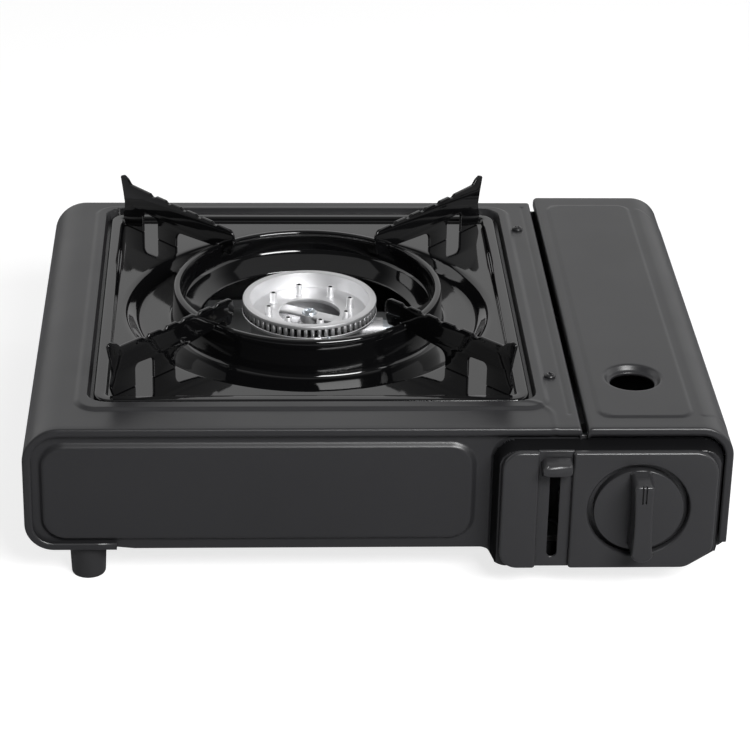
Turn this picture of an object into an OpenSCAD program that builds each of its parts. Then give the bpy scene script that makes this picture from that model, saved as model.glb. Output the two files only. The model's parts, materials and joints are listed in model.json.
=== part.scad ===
// Butane cassette stove: a pressed-steel table stove with one burner, an enamelled
// drip pan that lifts off, and a canister bay under a hinged lid on the right.
// Lengths are in millimetres. X runs to the right, Y to the rear and Z up.
// The origin is on the table, below the middle of the outer box.

/* [Body] */
// Width over the side walls
body_w = 340; // [330:1:350]
// Depth from the front lip to the rear lip
body_d = 272.5; // [266:0.5:279]
// Height of the deck above the table
deck_z = 84; // [83:0.5:86]
// Height of the body's underside above the table
belly_z = 18; // [17:0.5:19]
// Thickness of the pressed steel sheet
sheet_t = 0.8; // [0.7:0.1:1]
// Outer radius between the deck and the left side
deck_corner_r = 18; // [14:1:22]
// Outer radius between the left side and the belly
belly_corner_r = 14; // [10:1:16]
// Width of the lip folded in at the front and the rear
lip_w = 4; // [3:0.5:5]
// Width of the flange that the left side folds under the belly
belly_flange_w = 44; // [36:1:50]
// Height of the flange folded down along the deck's right edge
deck_flange_h = 10; // [8:1:12]

/* [Deck] */
// Gap from the body's left side to the pan
pan_left = 32.5; // [31:0.5:35]
// Gap from the pan to the deck's right edge
pan_right = 21.7; // [21:0.1:24]
// Gap from the front lip to the pan
pan_front = 31.4; // [29:0.2:34]
// Gap from the pan to the rear lip
pan_rear = 13.9; // [13:0.1:17]
// Height of the raised border round the pan
border_h = 1.2; // [0.8:0.1:1.5]
// Width of the border beside the pan's channel, at the sides
border_side = 6.5; // [5:0.5:7]
// Width of the border in front of the pan's channel
border_front = 8.5; // [6:0.5:10]
// Width of the border behind the pan's channel
border_rear = 5.2; // [4:0.2:6]
// Channel between the pan and the deck, at the sides
channel_side = 2.8; // [2:0.2:3.4]
// Channel between the pan and the deck, at the front
channel_front = 4.4; // [3:0.2:5]
// Channel between the pan and the deck, at the rear
channel_rear = 2.2; // [1.6:0.2:3]
// Depth of the pan's seat below the deck
seat_drop = 4.2; // [3.8:0.2:5]

/* [Drip pan] */
// Burner centre, in front of the pan's middle
burner_ahead = 3.5; // [2:0.5:5]
// Corner radius of the pan
pan_corner_r = 9; // [6:0.5:11]
// Width of the pan's raised rim
pan_rim_w = 6.5; // [5:0.5:8]
// Height of the pan's rim above its floor
pan_rim_h = 2.2; // [1.8:0.2:2.6]
// Width of the flat floor, from the trough to the nearest edge of the pan
trough_inset = 12; // [11:0.2:14]
// Depth of the trough below the floor
trough_depth = 6; // [5:0.5:8]
// Distance of the wind ring outside the middle between the burner head and the trough's edge
ring_out = 3; // [1:0.2:4]
// Height of the wind ring's top above the pan floor
ring_h = 13.8; // [12:0.2:15]
// Width of the ring's rolled top
ring_top_w = 3.8; // [3:0.2:4.4]
// Width of the cone from the ring's top to the opening round the burner
cone_w = 12.4; // [11.4:0.2:14]

/* [Pot supports] */
// Thickness of the support plates
support_t = 1.6; // [1.2:0.1:2]
// Height of the serrated edge above the pan floor
support_h = 24.9; // [22.9:0.5:26.9]
// Height of the horn above the pan floor
horn_h = 29.3; // [28.3:0.5:31.3]
// Gap from the pan's corner to the outer foot
foot_gap = 13.3; // [12.5:0.1:15]
// Reach of the plate's inner end past the ring
hook_w = 10.1; // [9:0.1:11]
// Width of each foot of a support
support_foot_w = 15; // [12:0.5:17]
// Width of the window between the feet
window_w = 12.5; // [10:0.5:14]
// Height of the window above the pan floor
window_h = 11.5; // [9:0.5:13]
// Depth of the notches in the serrated edge
notch_depth = 1.3; // [0.8:0.1:1.6]

/* [Burner] */
// Diameter of the burner head
head_d = 69.4; // [67:0.2:72]
// Height of the head's rim above the table
head_z = 86.2; // [85:0.2:87]
// Width of the flat rim on the head
head_rim_w = 3.8; // [3.2:0.2:4.4]
// Depth of the recessed face below the rim
head_recess = 8; // [7.4:0.2:8.6]
// Height of the flame slots
slot_h = 4.2; // [3.4:0.2:4.6]
// Number of flame slots
slot_count = 60; // [48:2:66]
// Width of one flame slot
slot_w = 1.9; // [1.4:0.1:2.2]
// Radius of the circle that the posts stand on
post_circle_r = 21.8; // [21:0.2:23]
// Diameter of a post
post_d = 3.7; // [3:0.1:4.2]
// Diameter of the opening under the bridge
bridge_bore_d = 32; // [30:0.5:34]
// Width of the bridge across the opening
bridge_w = 7.6; // [6.5:0.2:9]
// Outer diameter of the cup under the head
cup_d = 58.6; // [56:0.2:60]
// Height of the bracket that carries the cup
bracket_z = 60; // [59:0.5:61]
// Width of the bracket
bracket_w = 76; // [70:1:80]
// Outer diameter of the mixing tube
tube_d = 12; // [11:0.2:12.4]

/* [Canister bay] */
// Width of the bay, from the right side to the deck's edge
bay_w = 73.8; // [72:0.2:76]
// Height of the bay's tray above the table
tray_z = 13.9; // [13:0.1:15]
// Diameter of the gas canister that the bay takes
canister_d = 67; // [65:0.5:68]

/* [Lid] */
// Height of the lid above the deck
lid_rise = 1; // [0.6:0.1:1.6]
// Gap between the deck's edge and the lid
lid_gap = 2.8; // [2:0.2:3.4]
// Reach of the lid past the front lip
lid_front = 2; // [1.6:0.2:2.4]
// Reach of the lid past the rear lip
lid_rear = 5; // [4:0.5:6]
// Outer radius of the lid's long corner
lid_corner_r = 16; // [13:1:17]
// Width of the flanges at the lid's ends
lid_flange_w = 4.2; // [3.4:0.2:4.6]
// Height of the raised panels on the lid
lid_panel_h = 0.6; // [0.4:0.1:0.8]
// Diameter of the finger hole
finger_d = 22; // [20:0.5:24]
// Diameter of the dish round the finger hole
dish_d = 29; // [28:0.5:31]
// Depth of the dish
dish_h = 3; // [2.4:0.2:3.6]
// Finger hole's centre, right of the lid's left edge
finger_side = 27.5; // [26:0.5:29]
// Finger hole's centre, behind the front lip
finger_back = 51; // [48:1:56]
// Length of each hinge leaf
leaf_w = 18; // [16:1:19]
// Diameter of the hinge rod
hinge_rod_d = 3; // [2.6:0.1:3.2]

/* [Front panel] */
// Depth of the end panels behind the lips
panel_inset = 2.4; // [1.6:0.2:3]
// Height of the raised rectangle on the front
front_panel_h = 2; // [1.4:0.2:2.4]
// Depth of the drawn control housing in front of the lip
housing_depth = 7.8; // [7:0.2:8.6]

/* [Control panel] */
// Width of the control panel
fascia_w = 104; // [100:0.5:106]
// Height of the control panel
fascia_h = 63.3; // [60:0.5:64]
// Thickness of the control panel
fascia_t = 4.2; // [3.8:0.2:4.8]
// Gap from the right side of the body to the control panel
fascia_right = 8.2; // [7.8:0.2:9]
// Width of the lever's channel
lever_channel_w = 15.9; // [15:0.1:17]
// Depth of the lever's channel
lever_channel_depth = 2.6; // [2:0.2:2.8]
// Width of the lever's slot
lever_slot_w = 4.8; // [4.4:0.1:5.4]

/* [Control knob] */
// Diameter of the knob's disc
knob_d = 43.4; // [41:0.2:45]
// Gap round the knob's disc
knob_gap = 2.7; // [2:0.1:3]
// Knob centre, left of the body's right side
knob_right = 46; // [45:0.5:47]
// Height of the knob's centre above the table
knob_z = 46; // [45:0.5:47]
// Reach of the handle in front of the control panel
handle_h = 14; // [12:0.5:16]
// Width of the handle at its ends
handle_w = 10; // [9:0.2:11]
// Width of the handle at its waist
handle_waist = 8.2; // [7.4:0.2:9]
// Diameter of the knob's shaft
shaft_d = 6; // [5.5:0.1:6.5]

/* [Lock lever] */
// Width of the lever's finger piece
lever_knob_w = 14.8; // [14:0.1:15]
// Height of the lever's finger piece
lever_knob_h = 8.6; // [7.5:0.2:9]
// Distance from the lever's pivot to its finger piece
lever_reach = 61.2; // [60:0.2:62]
// Angle of the raised lever above level, in degrees
lever_up = 24; // [22:0.5:26]
// Thickness of the lever arm
lever_t = 2; // [1.6:0.1:2.4]
// Diameter of the lever's shaft
lever_shaft_d = 5; // [4.6:0.1:5.4]
// Radius of the crank that moves the canister yoke
crank_r = 7.5; // [7:0.1:8]

/* [Feet] */
// Diameter of a foot at its top
foot_d = 18; // [16:0.5:20]
// Distance from the left side and front lip to a foot's centre
foot_inset = 29.6; // [26:0.5:32]
// Distance from the lips to the centres of the left feet
foot_end = 12.4; // [11:0.2:14]

/* [Hidden] */

$fn = 64;
// Gap between sheets that are joined face to face
seam = 0.1;
// Gap between a moving piece and its seat
rest_gap = 0.3;
// Radial clearance of a running fit
run_fit = 0.05;
// Overshoot of a cutting shape
cut = 1;

t = sheet_t;
left_x = -body_w / 2;
right_x = body_w / 2;
bay_x = right_x - bay_w;

// Pan's plan, and the burner under it
pan_x0 = left_x + pan_left;
pan_x1 = bay_x - pan_right;
pan_y0 = pan_front;
pan_y1 = body_d - pan_rear;
pan_w = pan_x1 - pan_x0;
pan_d = pan_y1 - pan_y0;
burner_x = (pan_x0 + pan_x1) / 2;
burner_y = (pan_y0 + pan_y1) / 2 - burner_ahead;
trough_r = min(pan_w, pan_d - 2 * burner_ahead) / 2 - trough_inset;
ring_r = (head_d / 2 + trough_r) / 2 + ring_out;
pan_bore_r = ring_r - cone_w;

// Pan heights, from its seat upwards
seat_z = deck_z - seat_drop;
pan_rim_bottom_z = seat_z + rest_gap;
pan_rim_z = deck_z - 0.8;
pan_floor_z = pan_rim_z - pan_rim_h;
well_x0 = pan_x0 - channel_side;
well_x1 = pan_x1 + channel_side;
well_y0 = pan_y0 - channel_front;
well_y1 = pan_y1 + channel_rear;
deck_bore_r = trough_r + 3;

// Front panel planes, measured from the front lip
panel_front_y = panel_inset;
panel_back_y = panel_front_y + t;
panel_left_x = left_x + t + 0.2;
panel_top_z = deck_z - t - 0.2;
belly_edge_x = left_x + belly_flange_w;
lid_left_x = bay_x + lid_gap;
lid_top_z = deck_z + lid_rise;
bay_panel_right_x = right_x - 5.2;
bay_panel_top_z = deck_z - 4.4;

// Control housing and panel
fascia_x1 = right_x - fascia_right;
fascia_x0 = fascia_x1 - fascia_w;
fascia_z0 = tray_z;
fascia_z1 = fascia_z0 + fascia_h;
fascia_back_y = -housing_depth - seam;
fascia_front_y = fascia_back_y - fascia_t;
housing_x0 = fascia_x0 - 7.6;
housing_x1 = fascia_x1 + 3.6;
housing_z0 = tray_z - 0.7;
housing_z1 = fascia_z1 + 1.6;
knob_x = right_x - knob_right;
knob_pocket_r = knob_d / 2 + knob_gap;
pocket_floor_y = fascia_back_y + 0.3;
knob_disc_back_y = pocket_floor_y - rest_gap;
channel_x = fascia_x0 + 25.6;
channel_floor_y = fascia_front_y + lever_channel_depth;

// Outermost points, which centre the stove on the origin
handle_front_y = fascia_front_y - handle_h;
lid_end_y = body_d + lid_rear;
front_y = -(handle_front_y + lid_end_y) / 2;

// Base and bay
base_z = belly_z + t + seam;
base_top_z = base_z + t;
partition_x = bay_x - t - seam - t;
partition_bottom_z = base_top_z + seam;
tray_top_z = tray_z + t;
tray_wall_x = right_x - 6.6;
tray_wall_z = tray_z + 10.1;
tray_slope = 6.4;
tray_inner_z = tray_z + 26;
canister_x = bay_x + 1.2 + canister_d / 2;
canister_z = tray_top_z + 0.6 + canister_d / 2;
hinge_x = right_x - 2.6;
hinge_z = belly_z + 2.2;
lid_edge_z = hinge_z + 2.3;

// Lever and yoke
pivot_y = lever_reach * cos(lever_up) + channel_floor_y - lever_knob_h / 2 * sin(lever_up) - rest_gap;
pivot_z = 45.5;
lever_x = channel_x - lever_t / 2;
// Angle through which the lever turns when it locks the canister
lever_swing = 2 * lever_up - 1;
crank_x = bay_x + 1.6;
crank_t = 2;
crank_pin_d = 3;
yoke_wing_x = crank_x + crank_t + 1;
yoke_t = 1.2;
pin_y = pivot_y + crank_r * sin(lever_swing / 2);
pin_z = pivot_z + crank_r * cos(lever_swing / 2);
yoke_y = pin_y + 4;

// Burner heights
face_t = 2.2;
cup_top_z = head_z - head_recess - face_t - 0.1;
cup_z = bracket_z + seam;
tube_z = cup_z + 1.2 + tube_d / 2;
face_z = head_z - head_recess;

// ---------------------------------------------------------------- helpers

function unit(v) = v / norm(v);
function cross2(a, b) = a[0] * b[1] - a[1] * b[0];
function xy(p) = [p[0], p[1]];

// Arc that rounds the corner b between a and c with radius r
function corner_arc(a, b, c, r, n) =
    let (u = unit(a - b), v = unit(c - b), half = acos(max(-1, min(1, u * v))) / 2,
        m = b + unit(u + v) * r / sin(half), s = b + u * r / tan(half) - m,
        a0 = atan2(s[1], s[0]), turn = cross2(b - a, c - b) > 0 ? 1 : -1,
        sweep = turn * (180 - 2 * half))
    [for (i = [0:n]) m + r * [cos(a0 + sweep * i / n), sin(a0 + sweep * i / n)]];

// Outline through points [x, y, r], each corner rounded by its own r
function rounded(p, closed = true, n = 7) =
    let (k = len(p))
    [for (i = [0:k - 1])
        let (open_end = !closed && (i == 0 || i == k - 1), r = len(p[i]) > 2 ? p[i][2] : 0)
        each (open_end || r <= 0) ? [xy(p[i])]
            : corner_arc(xy(p[(i + k - 1) % k]), xy(p[i]), xy(p[(i + 1) % k]), r, n)];

// Open path moved sideways by d, to the left of its direction
function shifted(p, d) =
    let (k = len(p))
    [for (i = [0:k - 1])
        let (a = i > 0 ? unit(p[i] - p[i - 1]) : unit(p[1] - p[0]),
            b = i < k - 1 ? unit(p[i + 1] - p[i]) : a,
            na = [-a[1], a[0]], nb = [-b[1], b[0]])
        p[i] + (na + nb) * d / (1 + na * nb)];

// Strip of width w along the left of an open path
module strip(p, w) {
    back = shifted(p, w);
    polygon(concat(p, [for (i = [len(p) - 1:-1:0]) back[i]]));
}

// Rectangle between two corners with one radius
module block2d(x0, y0, x1, y1, r) {
    translate([x0, y0 + r]) square([x1 - x0, y1 - y0 - 2 * r]);
    translate([x0 + r, y0]) square([x1 - x0 - 2 * r, y1 - y0]);
    for (x = [x0 + r, x1 - r], y = [y0 + r, y1 - r]) translate([x, y]) circle(r);
}

// Rectangle about a centre with one radius
module pad2d(cx, cy, w, d, r) {
    block2d(cx - w / 2, cy - d / 2, cx + w / 2, cy + d / 2, r);
}

// Puts a front-lip based shape into the stove's frame
module placed() {
    translate([0, front_y, 0]) children();
}

// Sets an X-Z drawing upright between two depths
module upright(y0, y1) {
    translate([0, y1, 0]) rotate([90, 0, 0]) linear_extrude(y1 - y0) children();
}

// Sets a Y-Z drawing upright between two places along X
module sideways(x0, x1) {
    translate([x0, 0, 0]) rotate([90, 0, 90]) linear_extrude(x1 - x0) children();
}

// Flat layer between two heights
module layer(z0, z1) {
    translate([0, 0, z0]) linear_extrude(z1 - z0) children();
}

// Cylinder along Y between two depths
module rod_y(x, z, r, y0, y1) {
    translate([x, y1, z]) rotate([90, 0, 0]) cylinder(r = r, h = y1 - y0);
}

// Cylinder along X between two places
module rod_x(y, z, r, x0, x1) {
    translate([x0, y, z]) rotate([0, 90, 0]) cylinder(r = r, h = x1 - x0);
}

// Cross-recessed pan-head screw that points down, its head's seat at z
module pan_screw(x, y, z, d, length) {
    translate([x, y, z]) difference() {
        union() {
            cylinder(d1 = d * 1.9, d2 = d * 1.5, h = d * 0.55);
            translate([0, 0, -length]) cylinder(d = d, h = length);
        }
        translate([-d * 0.6, -d * 0.11, d * 0.25]) cube([d * 1.2, d * 0.22, d]);
        translate([-d * 0.11, -d * 0.6, d * 0.25]) cube([d * 0.22, d * 1.2, d]);
    }
}

// ---------------------------------------------------------------- casing

// Section of the wrapped shell, drawn in by the given amount
module wrap2d(in, right) {
    polygon(rounded([[left_x + in, belly_z + in, belly_corner_r - in], [right, belly_z + in],
        [right, deck_z - in], [left_x + in, deck_z - in, deck_corner_r - in]], n = 10));
}

// Outline of the channel round the pan, grown outwards
module well2d(grow) {
    block2d(well_x0 - grow, well_y0 - grow, well_x1 + grow, well_y1 + grow, pan_corner_r + grow);
}

// Outline of the border round the channel, drawn in by the given amount
module border2d(in) {
    block2d(well_x0 - border_side + in, well_y0 - border_front + in,
        well_x1 + border_side - in, well_y1 + border_rear - in, 10);
}

// Raised border round the pan, drawn in by the given amount
module border_block(in) {
    slope_w = 2 * border_h;
    hull() {
        layer(deck_z - in - 0.5, deck_z - in - 0.4) border2d(in);
        layer(deck_z + border_h - in - 0.1, deck_z + border_h - in) border2d(slope_w + in);
    }
}

deck_screw_x = bay_x - 10;
deck_screw_ys = [0.2 * body_d + 0.5, 0.86 * body_d];

module deck_screw_holes(d) {
    for (y = deck_screw_ys) translate([deck_screw_x, y, deck_z - 20]) cylinder(d = d, h = 40);
}

// Deck, left side and belly flange, folded from one sheet
module body_shell() {
    color([0.33, 0.33, 0.35]) placed() difference() {
        union() {
            upright(0, body_d) wrap2d(0, bay_x);
            border_block(0);
        }
        difference() {
            union() {
                upright(t, body_d - t) wrap2d(t, bay_x - t);
                border_block(t);
            }
            layer(seat_z - t, deck_z + 5) well2d(t);
        }
        layer(seat_z, deck_z + 5) well2d(0);
        translate([burner_x, burner_y, 0]) cylinder(r = deck_bore_r, h = deck_z + 5, $fn = 96);
        for (y = [-cut, body_d - t - seam]) upright(y, y + cut + t + seam) wrap2d(lip_w, bay_x - t);
        translate([belly_edge_x, -cut, 0]) cube([body_w, body_d + 2 * cut, deck_z - deck_flange_h]);
        for (y = [-cut, body_d - panel_back_y - 0.2])
            translate([bay_x - t - 0.1, y, 0]) cube([5, panel_back_y + cut + 0.2, bay_panel_top_z + 0.2]);
        for (y = left_foot_ys) translate([left_foot_x, y, belly_z - cut]) cylinder(d = 4.2, h = 4);
        deck_screw_holes(4);
    }
}

// Outline of an end panel; the belly steps down to the tray at step_x
module end_panel2d(step_x) {
    foot_x = tray_wall_x + 0.6;
    polygon(rounded([[panel_left_x, belly_z + t + 0.2, belly_corner_r - t - 0.2],
        [belly_edge_x + 0.2, belly_z + t + 0.2], [belly_edge_x + 0.2, belly_z],
        [step_x, belly_z, 8], [step_x + 7.4, housing_z0, 5], [foot_x - 6, housing_z0, 4],
        [right_x - 1.2, hinge_z + 0.2], [right_x - 1.2, hinge_z + 1],
        [bay_panel_right_x, hinge_z + 1], [bay_panel_right_x, bay_panel_top_z, 12],
        [bay_x - t - 0.2, bay_panel_top_z], [bay_x - t - 0.2, panel_top_z],
        [panel_left_x, panel_top_z, deck_corner_r - t - 0.2]]));
}

// Raised rectangle of an end panel, drawn in by the given amount, facing front
module raised_rectangle(x0, x1, in) {
    z0 = belly_z + lip_w + 0.2;
    z1 = deck_z - 8;
    hull() {
        upright(panel_front_y + in, panel_front_y + in + 0.1) block2d(x0, z0, x1, z1, 14);
        upright(panel_front_y - front_panel_h + in, panel_front_y - front_panel_h + in + 0.1)
            block2d(x0 + 1.9, z0 + 1.9, x1 - 1.9, z1 - 1.9, 12.1);
    }
}

// Drawn housing behind the control panel, drawn in by the given amount
module housing_block(in) {
    hull() {
        upright(panel_back_y - 0.1, panel_back_y + in * cut)
            block2d(housing_x0 + in, housing_z0 + in, housing_x1 - in, housing_z1 - in, 11);
        upright(-housing_depth + in, -housing_depth + in + 0.1)
            block2d(fascia_x0 - 0.8 + in, fascia_z0 - 0.4 + in, fascia_x1 + 0.8 - in, fascia_z1 + 0.4 - in, 10);
    }
}

// Front wall with its raised rectangle and the drawn control housing
module front_panel() {
    rect_x0 = left_x + 7.2;
    rect_x1 = housing_x0 - 3;
    color([0.17, 0.17, 0.18]) placed() difference() {
        union() {
            upright(panel_front_y, panel_back_y) end_panel2d(housing_x0 - 4);
            raised_rectangle(rect_x0, rect_x1, 0);
            housing_block(0);
        }
        translate([0, t, 0]) raised_rectangle(rect_x0 + 0.6, rect_x1 - 0.6, 0.001);
        housing_block(t);
        rod_y(knob_x, knob_z, knob_pocket_r + 1.9, -housing_depth - cut, 0);
        upright(-housing_depth - cut, 0)
            pad2d(channel_x, (fascia_z0 + fascia_z1) / 2, lever_slot_w + 3, fascia_h - 8, 3);
    }
}

// Rear wall with one long raised rectangle
module rear_panel() {
    color([0.17, 0.17, 0.18]) placed() translate([0, body_d, 0]) mirror([0, 1, 0]) difference() {
        union() {
            upright(panel_front_y, panel_back_y) end_panel2d(bay_x - 14);
            raised_rectangle(left_x + 7.2, bay_x - 8, 0);
        }
        translate([0, t, 0]) raised_rectangle(left_x + 7.8, bay_x - 8.6, 0.001);
    }
}

vent_rows = 4;
vent_columns = 9;
vent_pitch_x = 21;
vent_pitch_y = 34;

// Floor of the burner side, with air slots under the burner
module base_plate() {
    rail_h = 6;
    y0 = panel_back_y + seam;
    y1 = body_d - panel_back_y - seam;
    color([0.55, 0.56, 0.58]) placed() difference() {
        union() {
            layer(base_z, base_top_z) block2d(panel_left_x + 12, y0, partition_x + t, y1, 2);
            for (y = [y0, y1 - t]) translate([panel_left_x + 16, y, base_z])
                cube([partition_x - panel_left_x - 40, t, rail_h]);
        }
        for (i = [0:vent_columns - 1], j = [0:vent_rows - 1])
            translate([burner_x + (i - (vent_columns - 1) / 2) * vent_pitch_x,
                burner_y + (j - (vent_rows - 1) / 2) * vent_pitch_y, 0])
                layer(base_z - cut, base_top_z + cut) pad2d(0, 0, 5, 22, 2.4);
        for (y = left_foot_ys) translate([left_foot_x, y, base_z - cut]) cylinder(d = 4.2, h = 10);
    }
}

// Tray under the canister, with its right edge turned up to the hinge
module canister_tray() {
    y0 = panel_back_y + seam;
    y1 = body_d - panel_back_y - seam;
    path = rounded([[bay_x, tray_inner_z], [bay_x, tray_z, 3], [tray_wall_x - tray_slope, tray_z, 3],
        [tray_wall_x, tray_z + tray_slope, 2], [tray_wall_x, tray_wall_z]], closed = false);
    color([0.45, 0.46, 0.48]) placed() difference() {
        union() {
            upright(y0, y1) strip(path, t);
            for (y = [0.34, 0.62, 0.86] * body_d) translate([bay_x + 10, y - 4, tray_top_z - 0.01])
                cube([tray_wall_x - bay_x - 24, 8, 0.6]);
        }
        rod_x(pivot_y, pivot_z, lever_shaft_d / 2 + 1, bay_x - cut, bay_x + 2);
        for (y = right_foot_ys) translate([right_foot_x, y, tray_z - cut]) cylinder(d = 4.2, h = 10);
    }
}

// Heat-shield wall between the burner and the canister
module partition() {
    y0 = panel_back_y + 2;
    y1 = body_d - panel_back_y - 2;
    color([0.62, 0.63, 0.65]) placed() difference() {
        union() {
            sideways(partition_x, partition_x + t) block2d(y0, partition_bottom_z, y1, deck_z - t - seam, 3);
            translate([partition_x - 11, y0 + 3, partition_bottom_z]) cube([11.1, y1 - y0 - 6, t]);
            translate([partition_x - 13, y0 + 3, deck_z - 2 * t - seam]) cube([13.1, y1 - y0 - 6, t]);
        }
        deck_screw_holes(3.2);
        rod_x(pivot_y, pivot_z, lever_shaft_d / 2 + run_fit, partition_x - cut, bay_x);
        rod_x(pipe_y, pipe_z, pipe_d / 2 + 0.1, partition_x - cut, bay_x);
        for (i = [0:4]) sideways(partition_x - cut, bay_x)
            pad2d(0.5 * body_d + i * 22, 34, 14, 4, 1.9);
    }
}

// ---------------------------------------------------------------- feet and screws

left_foot_x = left_x + foot_inset;
right_foot_x = right_x - 25;
left_foot_ys = [foot_end, body_d - foot_end];
right_foot_ys = [foot_end + 18, body_d - foot_end];

// Tapered rubber foot, hollow from below round its screw
module foot(x, y, top_z) {
    color([0.09, 0.09, 0.1]) placed() translate([x, y, 0]) difference() {
        cylinder(d1 = foot_d - 1.4, d2 = foot_d, h = top_z);
        translate([0, 0, -cut]) cylinder(d = 8.5, h = 5 + cut);
        cylinder(d = 4.2, h = top_z + cut);
    }
}

module foot_front_left() {
    foot(left_foot_x, left_foot_ys[0], belly_z);
}

module foot_rear_left() {
    foot(left_foot_x, left_foot_ys[1], belly_z);
}

module foot_front_right() {
    foot(right_foot_x, right_foot_ys[0], tray_z);
}

module foot_rear_right() {
    foot(right_foot_x, right_foot_ys[1], tray_z);
}

// Screws that hold the feet, driven up from below into nuts on the floor
module foot_screws() {
    color([0.7, 0.71, 0.73]) placed() {
        for (y = left_foot_ys) foot_screw(left_foot_x, y, base_top_z);
        for (y = right_foot_ys) foot_screw(right_foot_x, y, tray_top_z);
    }
}

module foot_screw(x, y, nut_z) {
    translate([x, y, 0]) {
        translate([0, 0, 5 - 2.2]) cylinder(d = 7.6, h = 2.2);
        cylinder_from(5 - 0.1, nut_z + 4.5, 4);
        translate([0, 0, nut_z]) cylinder(d = 7.8, h = 3.2, $fn = 6);
    }
}

// Upright cylinder between two heights
module cylinder_from(z0, z1, d) {
    translate([0, 0, z0]) cylinder(d = d, h = z1 - z0);
}

// Two screws through the deck into the partition's flange
module deck_screws() {
    color([0.1, 0.1, 0.11]) placed() for (y = deck_screw_ys)
        pan_screw(deck_screw_x, y, deck_z, 3, 6);
}

// ---------------------------------------------------------------- burner

// Galvanised strip from the left wall to the partition
module burner_bracket() {
    x0 = left_x + t + seam;
    x1 = partition_x - seam;
    y0 = burner_y - bracket_w / 2;
    skirt = 7;
    color([0.66, 0.67, 0.69]) placed() difference() {
        union() {
            translate([x0, y0, bracket_z - t]) cube([x1 - x0, bracket_w, t]);
            for (x = [x0, x1 - t]) translate([x, y0 + 6, bracket_z - 0.01]) cube([t, bracket_w - 12, 5]);
            for (y = [y0, y0 + bracket_w - t]) translate([x0 + 10, y, bracket_z - skirt])
                cube([x1 - x0 - 20, t, skirt]);
        }
        translate([burner_x, burner_y, bracket_z - 5]) cylinder(d = 16, h = 10);
        for (a = cup_screw_angles) translate([burner_x, burner_y, 0]) rotate(a)
            translate([cup_ear_r, 0, bracket_z - 5]) cylinder(d = 4.2, h = 10);
        electrode_at() translate([0, clip_reach, bracket_z - 5]) cylinder(d = 3.2, h = 10);
        translate([tube_x1 - 24, burner_y - 12, bracket_z - 20]) cube([40, 24, 40]);
    }
}

cup_ear_r = cup_d / 2 + 4.5;
cup_screw_angles = [100, 260];

// Cast cup that feeds gas to the head, with a socket for the mixing tube
module burner_cup() {
    wall = 2.6;
    color([0.6, 0.61, 0.63]) placed() translate([burner_x, burner_y, 0]) difference() {
        union() {
            cylinder_from(cup_z, cup_top_z, cup_d);
            translate([cup_d / 2 - 6, 0, tube_z]) rotate([0, 90, 0]) cylinder(d = tube_d + 2, h = 16);
            for (a = cup_screw_angles) rotate(a) {
                translate([cup_ear_r, 0, 0]) cylinder_from(cup_z, cup_z + 4, 9);
                translate([cup_d / 2 - 4, -4.5, cup_z]) cube([8.5, 9, 4]);
            }
        }
        difference() {
            cylinder_from(cup_z + wall, cup_top_z + cut, cup_d - 2 * wall);
            cylinder_from(cup_z, face_z - 5.9, 10);
        }
        cylinder_from(cup_z + 4, cup_top_z + cut, 4.2);
        translate([cup_d / 2 - 8, 0, tube_z]) rotate([0, 90, 0]) cylinder(d = tube_d + 0.2, h = 40);
        for (a = cup_screw_angles) rotate(a) translate([cup_ear_r, 0, 0]) cylinder_from(0, 100, 4.2);
    }
}

// Die-cast head: flat rim, flame slots, recessed face with posts and a bridge
module burner_head() {
    r = head_d / 2;
    slot_top = head_z - 2;
    slot_bottom = slot_top - slot_h;
    color([0.82, 0.83, 0.84]) placed() translate([burner_x, burner_y, 0]) difference() {
        union() {
            cylinder_from(slot_top, head_z, head_d);
            cylinder_from(face_z, slot_top + 0.1, head_d - 1.2);
            cylinder_from(face_z, slot_bottom, head_d + 0.6);
            translate([0, 0, cup_top_z + seam]) cylinder(d1 = cup_d, d2 = head_d + 0.6, h = face_t);
            cylinder_from(cup_top_z - 3, cup_top_z + seam + 0.1, cup_d - 5.6);
            translate([2, -r - 1.6, face_z]) cube([3.4, 3, 1.2]);
        }
        difference() {
            cylinder_from(face_z, head_z + cut, head_d - 2 * head_rim_w);
            for (i = [0:7]) rotate(13 + 45 * i) translate([post_circle_r, 0, 0])
                cylinder_from(face_z - 1, head_z - 2.2, post_d);
        }
        for (i = [0:7]) rotate(13 + 45 * i) translate([post_circle_r, 0, 0])
            cylinder_from(face_z - 1, head_z, post_d * 0.5);
        for (i = [0:slot_count - 1]) rotate(360 * i / slot_count)
            translate([r - head_rim_w + 0.6, -slot_w / 2, slot_bottom]) cube([head_rim_w + 2, slot_w, slot_h]);
        difference() {
            cylinder_from(face_z - 20, face_z + cut, bridge_bore_d);
            bridge();
        }
        cylinder_from(face_z - 20, face_z - face_t, cup_d - 9);
        rotate(-57) translate([25.6, -2.4, face_z - 10]) cube([2.4, 4.8, 20]);
        cylinder_from(face_z - 20, head_z, 4.3);
        cylinder_from(face_z - 1.2, head_z, 8.4);
    }
}

// Bar across the head's opening, with the boss for the centre screw
module bridge() {
    rotate(-28) translate([-30, -bridge_w / 2, face_z - 2.2]) cube([60, bridge_w, 1.6]);
    cylinder_from(face_z - 5.6, face_z - 1.2, 9.6);
}

// Zinc screw through the bridge into the cup's post
module burner_screw() {
    color([0.78, 0.83, 0.86]) placed() pan_screw(burner_x, burner_y, face_z - 1.2, 4, 9);
}

module cup_screws() {
    color([0.7, 0.71, 0.73]) placed() translate([burner_x, burner_y, 0])
        for (a = cup_screw_angles) rotate(a) pan_screw(cup_ear_r, 0, cup_z + 4, 4, 8);
}

tube_x0 = burner_x + cup_d / 2 + 1;
tube_x1 = partition_x - 14;
mouth_d = tube_d + 4;

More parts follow.
